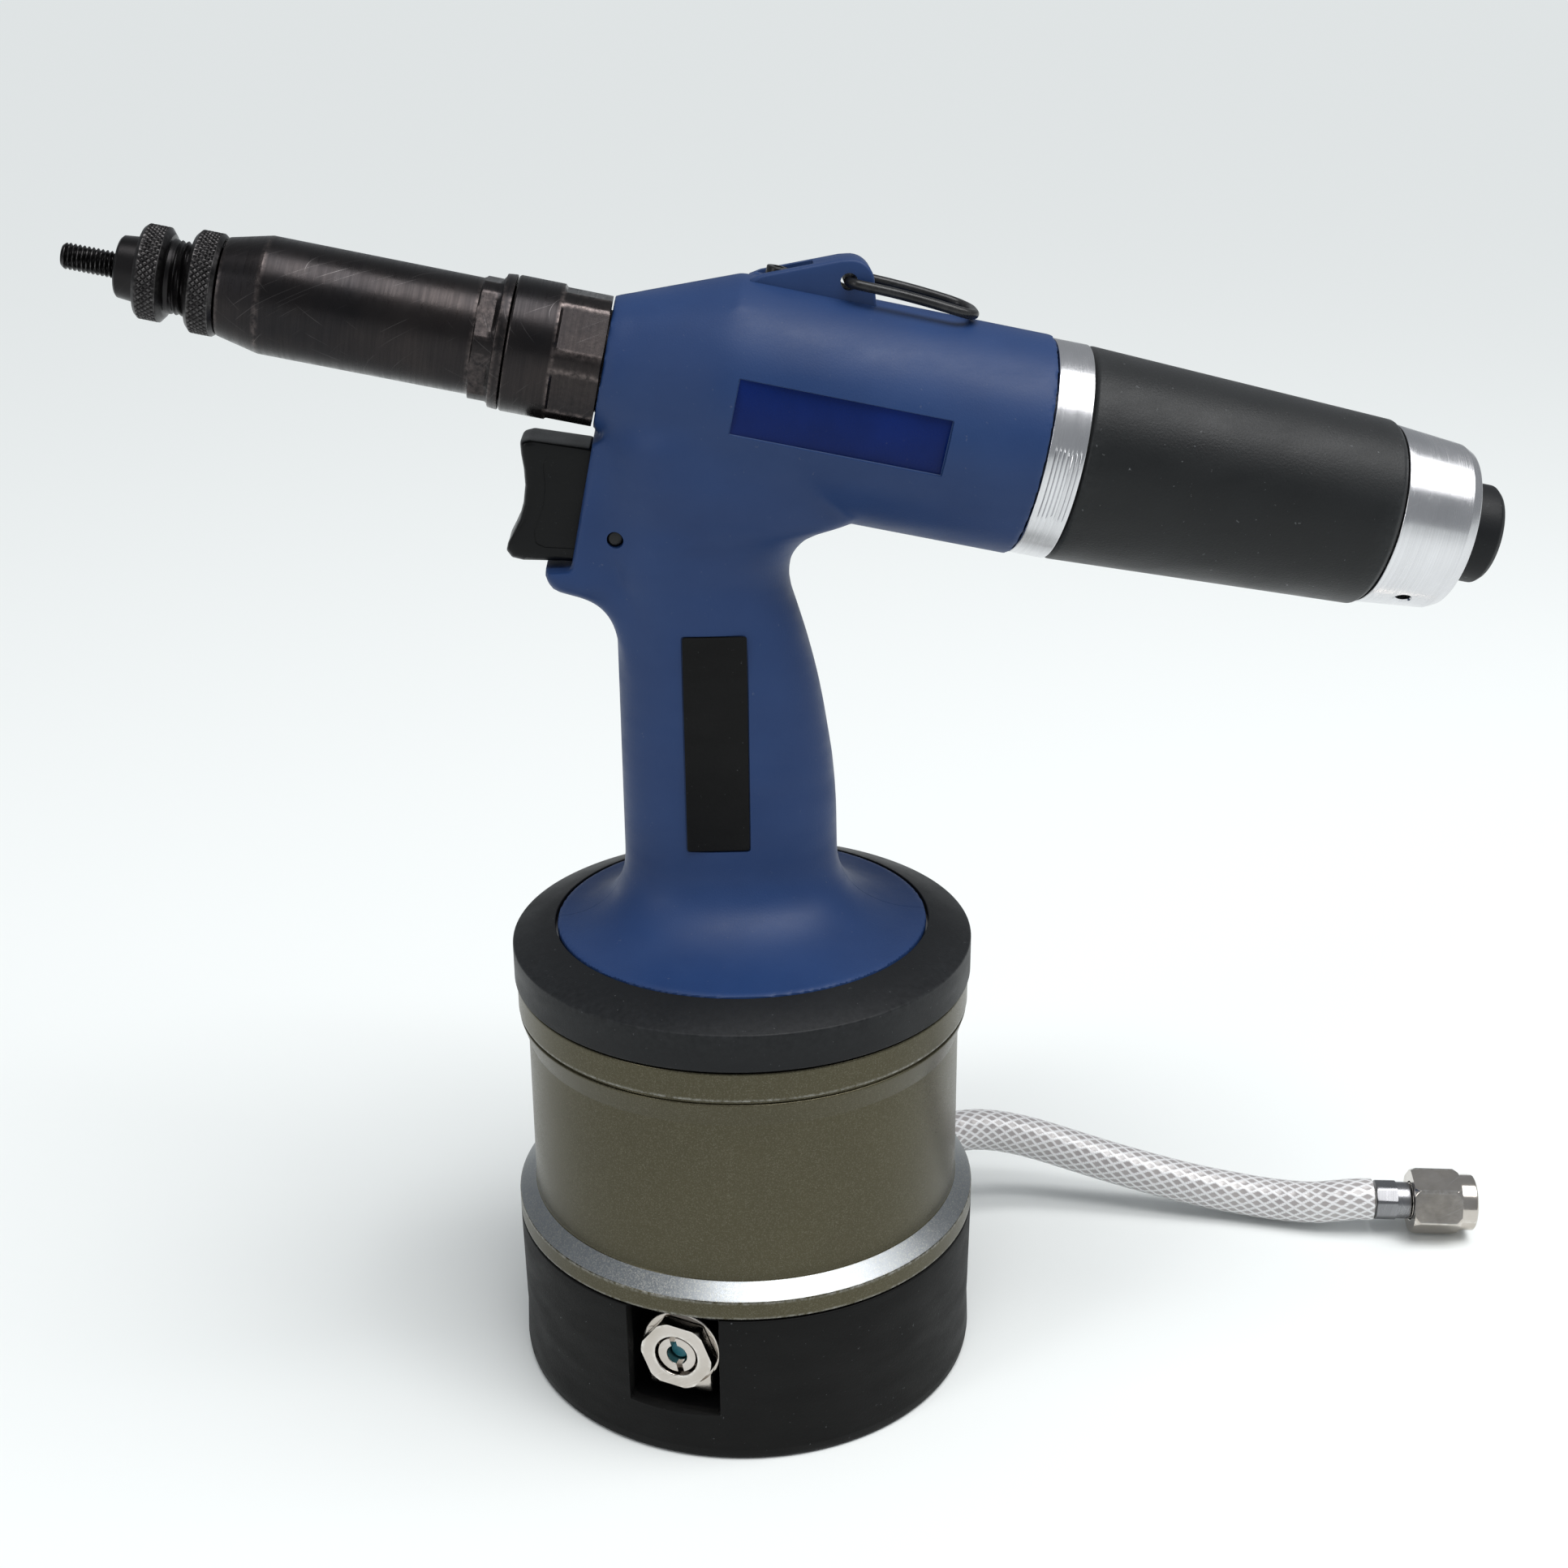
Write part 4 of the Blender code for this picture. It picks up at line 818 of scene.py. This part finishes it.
# ---- nose ----
def knurl(low, high, teeth, depth, base):
    """Diamond knurling between two places: two crossing sets of ridges."""
    pitch = 2 * pi * base / teeth

    def height(along, turn):
        a = (turn * teeth / (2 * pi) + along / pitch) % 1.0
        b = (turn * teeth / (2 * pi) - along / pitch) % 1.0
        return min(1.0 - abs(2 * a - 1), 1.0 - abs(2 * b - 1))

    def shape(along, radius, turn):
        if radius < base - 0.2 or not low < along < high:
            return radius
        fade = min(1, (along - low) / 0.4, (high - along) / 0.4)
        groove = min(1, height(along, turn) * 1.9)
        return radius - depth * fade * (1.0 - groove)

    def worn(along, radius, turn):
        if low < along < high and radius > base - depth * 1.2:
            return 0.75 * max(0, (radius - (base - depth)) / depth - 0.55) / 0.45
        return 0.25 if radius > base - 0.9 else 0.0
    return shape, worn


def thread(pitch, depth, low, high, crest):
    """A thread of that pitch on a radius, between two places."""
    def shape(along, radius, turn):
        if radius < crest - 0.05 or not low < along < high:
            return radius
        phase = (along / pitch + turn / (2 * pi)) % 1.0
        ridge = min(1, max(0, 2.35 * (0.5 - abs(phase - 0.5)) - 0.05))
        fade = min(1, (along - low) / 0.7, (high - along) / 0.7)
        return radius - depth * fade * (1.0 - ridge)

    def worn(along, radius, turn):
        return 0.6 if radius > crest - 0.12 and low < along < high else 0.0
    return shape, worn


def nose_pieces():
    shape, worn = thread(1, 0.55, -150.7, -134, 2.95)
    turned("pull_mandrel", [(-151, 2.3), (-150.2, 2.95), (-90, 2.95)], None, THREAD, "mandrel",
        "mandrel", 48, shape=shape, wear=worn, spacing=0.14, round_by=0.1, smooth=50)

    shape, worn = knurl(-132.9, -128.5, 46, 0.42, 10.5)
    lower, _ = thread(1.25, 0.6, -126.6, -104.7, 8.2)

    def both(along, radius, turn):
        return lower(along, shape(along, radius, turn), turn) if along > -126.9 else shape(along,
            radius, turn)
    turned("nose_piece",
        [(-138.6, 6.3), (-138.1, 6.85), (-133.9, 7.3, 0.3), (-133.7, 9.8, 0.2), (-132.9, 10.5, 0.2),
        (-128.5, 10.5, 0.2), (-127.4, 9.1, 0.2), (-127.2, 8.2, 0.2), (-104.6, 8.2)],
        [(-138.6, 3.4), (-104.6, 3.4)], THREAD, "nosepiece", "nosepiece", 368,
        round_by=0.2,
        shape=both, wear=worn, spacing=0.22, smooth=60)
    shape, worn = knurl(-121.4, -116.9, 50, 0.42, 11.4)
    turned("jam_nut", [(-122.4, 10.3), (-121.4, 11.4, 0.2), (-116.9, 11.4, 0.2), (-116, 10.7)],
        [(-122.4, 8.6), (-116, 8.6)], THREAD, "lock_nut", "lock_nut", 400, round_by=0.2,
        shape=shape, wear=worn, spacing=0.2, smooth=60)

    flats = hexed(13.2, WRENCH_TURN, -58.9, -54.6)

    def barrel_wear(along, radius, turn):
        local = abs(from_flat(turn, WRENCH_TURN))
        if -58.9 <= along <= -54.6:
            return 0.3 if local < radians(24) else 0.05
        ends = [(-115.6, 10.9), (-106.3, 13.1), (-59.2, 13.1), (-52, 15.25), (-54.2, 15)]
        near = min(hypot(along - a, radius - r) for a, r in ends)
        return 0.6 * max(0, 1.0 - near / 0.6)
    turned("nose_barrel",
        [(-115.6, 10.9, 0.3), (-106.3, 13.1, 1.2), (-59.2, 13.1, 0.2), (-58.8, 14.3, 0.25),
        (-54.4, 14.3, 0.15), (-54.3, 15, 0.25), (-52, 15.25, 0.3), (-52, 12.6),
        (-43.2, 12.6)], [(-115.6, 8.6), (-104, 8.6), (-103, 11), (-43.2, 11)], OXIDE,
        "root", "front_barrel",
        240, round_by=0.25, shape=flats, wear=barrel_wear, spacing=0.8, smooth=34)

    hexagon = hexed(14.2, WRENCH_TURN, -41.2, -30)

    def outer_hexagon(along, radius, turn):
        return radius if radius < 13.0 else hexagon(along, radius, turn)

    def adapter_wear(along, radius, turn):
        local = abs(from_flat(turn, WRENCH_TURN))
        corner = max(0, 1.0 - abs(local - radians(22)) / radians(4))
        rim = max(0, 1.0 - abs(along + 41.2) / 0.6)
        if along < -41.6:
            return 0.5 * max(0, 1.0 - abs(along + 51.6) / 0.5)
        return min(1, 0.9 * corner + 0.9 * rim + 0.06)
    turned("barrel_coupling",
        [(-51.6, 15.1, 0.2), (-51.2, 15.3, 0.2), (-41.4, 15.3, 0.1), (-41.2, 15.3, 0.1),
        (-30.4, 15.3, 0.3), (-30.4, 11.6), (-27.6, 11.6)],
        [(-51.6, 13), (-42.6, 13), (-42.6, 10.2), (-31.8, 10.2), (-31.8, 7.6), (-27.6, 7.6)],
        OXIDE, "root", "barrel_adapter", 240, round_by=0.2, shape=outer_hexagon,
        wear=adapter_wear, spacing=0.55, smooth=26)


# ---- rear ----
SERRATED_HALF = radians(21)


def rear_pieces():
    def serrated(along, radius, turn):
        side = (turn - radians(262) + pi) % (2 * pi) - pi
        if radius < 24.0 or abs(side) > SERRATED_HALF or not 70.6 < along < 77.4:
            return radius
        fade = min(1, (SERRATED_HALF - abs(side)) / 0.05)
        return radius - 0.32 * fade * max(0, cos(2 * pi * along / 0.95)) ** 4
    turned("joint_ring", [(66.4, 21.9), (69.7, 21.9), (69.7, 24.9, 0.25), (78, 24.95, 0.25)],
        [(66.4, 17.6), (78, 19.8)], TURNED, "root", "rear_ring", 256, round_by=0.2,
        shape=serrated, spacing=0.16, smooth=50)
    turned("motor_sleeve", [(78.3, 23.9), (79, 24.85, 1), (152.2, 21.95, 1.3), (153.4, 20.9, 0.6)],
        [(78.3, 21.6), (147, 19.7), (153.4, 19.7)], SOFT, "root", "rear_sleeve", 160,
        round_by=0.6, worn_edges=[(79, 24.85), (152.2, 21.95)], reach=1.2, amount=0.3,
        spacing=4)
    profile = rounded([(153.7, 16.6), (153.7, 21.15, 0.3), (170, 19.65, 0.6), (172.3, 18.6, 0.8),
        (173, 16.8, 0.5), (173, 12.3, 0.3), (166, 12.3), (165, 16.6)], 0.3, 3, True)
    points, faces, _ = lathe_data(dense(profile, 1.2, True), 192, None, True)
    cap = raw("cap_form", points, faces, BARREL)
    hole = lathe_raw("cap_hole", [(8, 0), (8, 1.75), (19.75, 1.75), (20.75, 2.6), (30, 11),
        (30, 0)], 40, BARREL @ at(162.4, 0, 0) @ spun(142, "X") @ UPRIGHT)
    register("end_cap", combine(cap, [hole]), TURNED, "root", "rear_cap", 34)
    turned("reverse_knob",
        [(159.6, 14.6, 0.4), (162, 14.6, 0.4), (162, 11.7, 0.3), (180.6, 11.7, 0.9),
        (181.9, 10.6, 0.8), (181.9, 3, 0.2), (181.4, 2.6)], None, BLACK, "reverse_button",
        "reverse_button", 128, round_by=0.5, spacing=1.5)


# ---- trigger, hanger, screws ----
def finger(x, z, share):
    """Rounds the trigger's front, top and lower edges towards its sides."""
    ahead = max(0, min(1, (-38.0 - x) / 8))
    below = max(0, min(1, (226.0 - z) / 9))
    above = max(0, min(1, (z - 234) / 6))
    return (2.4 * ahead * bulge(share, 4.5),
        2.8 * below * ahead * bulge(share, 2.4) - 1.1 * above * bulge(share, 6))


def trigger_pieces():
    outline = rounded([(-32.6, 241.2), (-46.8, 243.4, 1), (-49, 242.9, 1), (-48.9, 240, 1),
        (-48.45, 236.6), (-48.3, 232.6), (-48.9, 228.4), (-50, 224.8), (-51.6, 221.4),
        (-53, 218.6, 1), (-53.4, 216.8, 0.8), (-52.2, 215.1, 0.8), (-49.6, 214.4, 0.8),
        (-26, 214, 1), (-22.6, 217, 1.5), (-22.2, 221.5, 2), (-24.6, 225.6, 2),
        (-30.4, 227.5, 1), (-30.9, 229.5, 0.5)], 1.2, 4, True)
    body = lofted("trigger_form", outline, 7.45, 26, finger)
    inner = [(-34.5, 238.6), (-42.8, 239.8), (-43.8, 238), (-43.6, 232.6), (-44.3, 228),
        (-46.6, 222.4), (-46.4, 219.4), (-44.4, 218.4), (-33, 217.6)]
    cuts = [plate("trigger_pin_hole", arc(TRIGGER_PIN, 1.95, 0, 345, 23), -12, 12)]
    for side in (-1, 1):
        low, high = paired(side, 7.2, 9)
        cuts.append(plate("trigger_relief", rounded(inner, 1.2, 3, True), low, high))
    mesh = combine(holder("trigger_mass", mesh_of(body)), cuts)
    register("trigger_lever", mesh, TRIGGER, "trigger", "trigger", 30)
    pin = at(TRIGGER_PIN[0], 0, TRIGGER_PIN[1]) @ SIDEWAYS
    turned("pivot_pin", [(-11.2, 1.7, 0.3), (11.2, 1.7, 0.3)], None, WIRE, "root", "trigger_pin",
        32, pin, 0.3)


def hanger_pieces():
    reach, half, corner = 49.85 - BAIL_PIN[0], 7.6, 2.6
    loop = [(0, -2.4), (0, 2.4), (0, half - corner)]
    loop += arc((corner, half - corner), corner, 180, 90, 5)[1:]
    loop += [(reach * 0.35, half), (reach * 0.6, half)]
    loop += arc((reach - 5.5, half - 5.5), 5.5, 90, 0, 7)
    loop += arc((reach - 5.5, -half + 5.5), 5.5, 0, -90, 7)
    loop += [(reach * 0.6, -half), (reach * 0.35, -half)]
    loop += arc((corner, -half + corner), corner, 270, 180, 5)[:-1] + [(0, -half + corner)]
    slope = (27.2 - BAIL_PIN[1]) / reach
    points = []
    for along, across in loop:
        share = along / reach
        height = BAIL_PIN[1] + slope * along + 2.0 * share * (1 - share)
        points.append(BARREL @ Vector((BAIL_PIN[0] + along, across, height)))
    path = smooth_points(points, 0.7, True)
    points, faces, _ = tube_data(path, lambda length, turn: (1.15, 0), 20, True)
    wear = [0.35 + 0.3 * sin(i * 0.013) for i in range(len(points))]
    register("hang_loop", mesh_from("hang_loop", points, faces, PLAIN, wear=wear), WIRE, "bail",
        "hanging_bail", 60)
    screw = lathe_raw("filler_mass", rounded([(19, 0), (19, 2.5), (25.9, 2.5), (25.9, 2.6),
        (28.5, 2.6, 0.4), (28.5, 0)], 0.2), 48, BARREL @ at(FILLER_AT, 0, 0) @ UPRIGHT)
    socket = plate("filler_socket", arc((FILLER_AT, 0), 1.35, 0, 300, 5), 0, 3,
        BARREL @ at(0, 0, 27.2) @ spun(90, "X"))
    register("filler_plug", combine(screw, [socket]), WIRE, "root", "oil_filler_screw", 34)
    for number, (x, z) in enumerate(CASE_SCREWS, 1):
        spot = at(x, 0, z) @ SIDEWAYS
        head = lathe_raw("head", rounded([(-8, 0), (-8, 1.7), (11.8, 1.7), (11.8, 3.3, 0.4),
            (13.6, 3.3, 0.6), (13.6, 0)], 0.2), 40, spot)
        socket = plate("head_socket", arc((0, 0), 1.5, 0, 300, 5), 0, 2.6,
            spot @ at(12.4, 0, 0) @ spun(-90, "Z"))
        register("case_screw_%d" % number, combine(head, [socket]), DARK, "root",
            "housing_screw_%d" % number, 34)


# ---- hose ----
HOSE_ROUTE = [(51.9, 43.55, 26.5), (56.6, 47.2, 26.4), (62.4, 50.6, 25.9), (69, 53.1, 24.8),
    (77, 54.4, 22.9), (86, 54.4, 20.3), (96, 53, 17.3), (107, 50.8, 14.3),
    (119, 48.2, 11.5), (131, 45.4, 9.2), (143, 42.7, 7.6), (154, 39.6, 7),
    (164, 36.6, 7.6), (171, 34.9, 9), (176, 34.16, 9.8), (180.26, 33.71, 9.9),]


BRAID_STRANDS, BRAID_PITCH, STRAND_HALF = 14, 9.5, 0.27


def woven(length, turn):
    """The hose's radius at a place and the height there of its crossing strands."""
    ridges = []
    for way in (1, -1):
        along = way * length / BRAID_PITCH / BRAID_STRANDS * 2.2
        phase = (BRAID_STRANDS * (turn / (2 * pi) + along)) % 1.0
        ridges.append(max(0, 1.0 - abs(phase - 0.5) / STRAND_HALF))
    height = max(ridges[0], ridges[1] * 0.94)
    return 5.79 + 0.16 * height, height


def hose_pieces():
    path = smooth_points(HOSE_ROUTE, 0.55)
    points, faces, heights = tube_data(path, woven, 84)
    mesh = mesh_from("braided_air_hose", points, faces, PLAIN, weave=heights)
    hose = register("braided_air_hose", mesh, BRAID, "root", "air_hose", 60)
    turned("hose_socket", [(42, 7.4), (59.7, 7.4), (59.7, 9.5, 0.4), (63.6, 9.5, 0.5), (66.9, 7.5,
        0.5)],
        [(42, 3.5), (66, 3.5), (66.9, 4.5)], NICKEL, "root", "hose_gland", 96, INLET,
        0.3, spacing=0.5, shape=hexed(8.9, 0.2, 59.7, 63.2), smooth=34)
    clamp = turned("hose_clamp", [(-9.8, 5.55, 0.3), (-4, 5.6, 0.3), (-3.95, 5.2, 0.05), (-0.2,
        5.2)],
        [(-9.8, 3.4), (-0.2, 3.4)], STEEL, "root", "hose_ferrule", 160, HOSE_END, 0.2,
        shape=crimped, spacing=0.2, smooth=26)
    nut = turned("hose_nut", [(0.2, 9.5), (13.4, 9.5, 0.3), (13.5, 7.9, 0.2), (17.6, 7.9, 0.4),
        (18, 7.4)], [(0.2, 5.5), (8, 5.5), (8, 6.3), (18, 6.3)], NICKEL,
        "swivel_nut", "swivel_nut",
        240, HOSE_END, 0.25, shape=nut_shape, spacing=0.25, wear=nut_wear, smooth=26)
    stem = turned("hose_tail", [(-9.6, 3), (0.2, 3), (0.2, 5.1), (8.4, 5.1), (8.4, 5.8), (10.6,
        5.8),
        (11.4, 4.6)], [(-9.6, 2), (11.4, 2)], NICKEL, "root", "hose_stem",
        64, HOSE_END, 0.2)
    length = sum((b - a).length for a, b in zip(path, path[1:])) * MM
    tuple(c * MM for c in HOSE_ROUTE[0])
    [tuple(c * MM for c in spot) for spot in path]


def crimped(along, radius, turn):
    if radius < 4.5 or along > -3.97:
        return radius
    return min(radius, 5.3 / cos(from_flat(turn, flats=8)))


def nut_shape(along, radius, turn):
    if radius < 7.95:
        return radius
    limit = 8.25 / cos(from_flat(turn, NUT_TURN))
    ease = max(0, 1.4 - (along - 0.2), 1.4 - (13.4 - along))
    return min(radius, limit, 9.52 - 0.55 * ease)


def nut_wear(along, radius, turn):
    local = abs(from_flat(turn, NUT_TURN))
    return 0.8 * max(0, 1.0 - abs(local - radians(28)) / radians(3)) if radius > 7.5 else 0.2


# ---- run ----
base_pieces()
bright_bevel()
regulator_pieces()
housing_pieces()
nose_pieces()
rear_pieces()
trigger_pieces()
hanger_pieces()
hose_pieces()

# CAD nodes that stay, inside the tool, take a metal; the rest of them are steel.
KEPT = {"base_manifold": DARK, "cylinder_head_plate": ALLOY, "air_piston": ALLOY,
    "piston_seal": SOFT,
    "head_body": ALLOY, "air_feed_tube": BRASS, "valve_body": BRASS}
for name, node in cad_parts.items():
    material = KEPT.get(name, STEEL)
    if not node.material_slots:
        node.data.materials.append(material)
    for slot in node.material_slots:
        slot.material = material


# ---- floor, light, camera ----
def aimed(lamp, direction):
    lamp.rotation_euler = direction.to_track_quat("-Z", "Y").to_euler()


def stage():
    floor = bpy.data.materials.new("floor_pale")
    floor.use_nodes = True
    shader = floor.node_tree.nodes["Principled BSDF"]
    shader.inputs["Base Color"].default_value = (*linear((0.93, 0.941, 0.937)), 1)
    shader.inputs["Roughness"].default_value = 0.9
    shader.inputs["Specular IOR Level"].default_value = 0.0
    reach = 90000
    item = raw("floor", [(-reach, -reach, -0.1), (reach, -reach, -0.1), (reach, reach, -0.1),
        (-reach, reach, -0.1)], [(0, 1, 2, 3)])
    item.data.materials.append(floor)
    world = bpy.data.worlds.new("studio")
    world.use_nodes = True
    sky = world.node_tree.nodes["Background"].inputs
    sky["Color"].default_value = (*linear((0.96, 0.98, 1)), 1)
    sky["Strength"].default_value = 0.34
    bpy.context.scene.world = world
    bpy.context.scene.view_settings.view_transform = "Standard"
    sun = bpy.data.lights.new("overhead", "SUN")
    sun.energy = 1.85
    sun.angle = radians(38)
    aimed(holder("overhead", sun), Vector((-0.12, 0.26, -0.96)))
    for name, spot, aim, size, power in (
            ("strip_left", (-900, -700, 700), (-40, 0, 190), (0.25, 0.8), 2.2),
            ("high_right", (620, -160, 1000), (20, 0, 120), (0.7, 0.6), 5)):
        light = bpy.data.lights.new(name, "AREA")
        light.shape = "RECTANGLE"
        light.size, light.size_y = size
        light.energy = power
        lamp = holder(name, light)
        lamp.location = Vector(spot) * MM
        aimed(lamp, Vector(aim) - Vector(spot))


def camera():
    yaw, pitch, roll = (radians(v) for v in (2.043, 21.588, -0.434))
    ahead = Vector((sin(yaw) * cos(pitch), cos(yaw) * cos(pitch), -sin(pitch)))
    right = Vector((cos(yaw), -sin(yaw), 0))
    up = right.cross(ahead)
    across = right * cos(roll) + up * sin(roll)
    above = -right * sin(roll) + up * cos(roll)
    data = bpy.data.cameras.new("view")
    data.lens = 48.98
    data.sensor_width = 36.0
    data.clip_start = 0.01
    item = holder("view", data)
    item.matrix_world = Matrix(((across.x, above.x, -ahead.x, -0.006576),
        (across.y, above.y, -ahead.y, -0.486866), (across.z, above.z, -ahead.z, 0.34836),
        (0, 0, 0, 1)))
    bpy.context.scene.camera = item


stage()
camera()
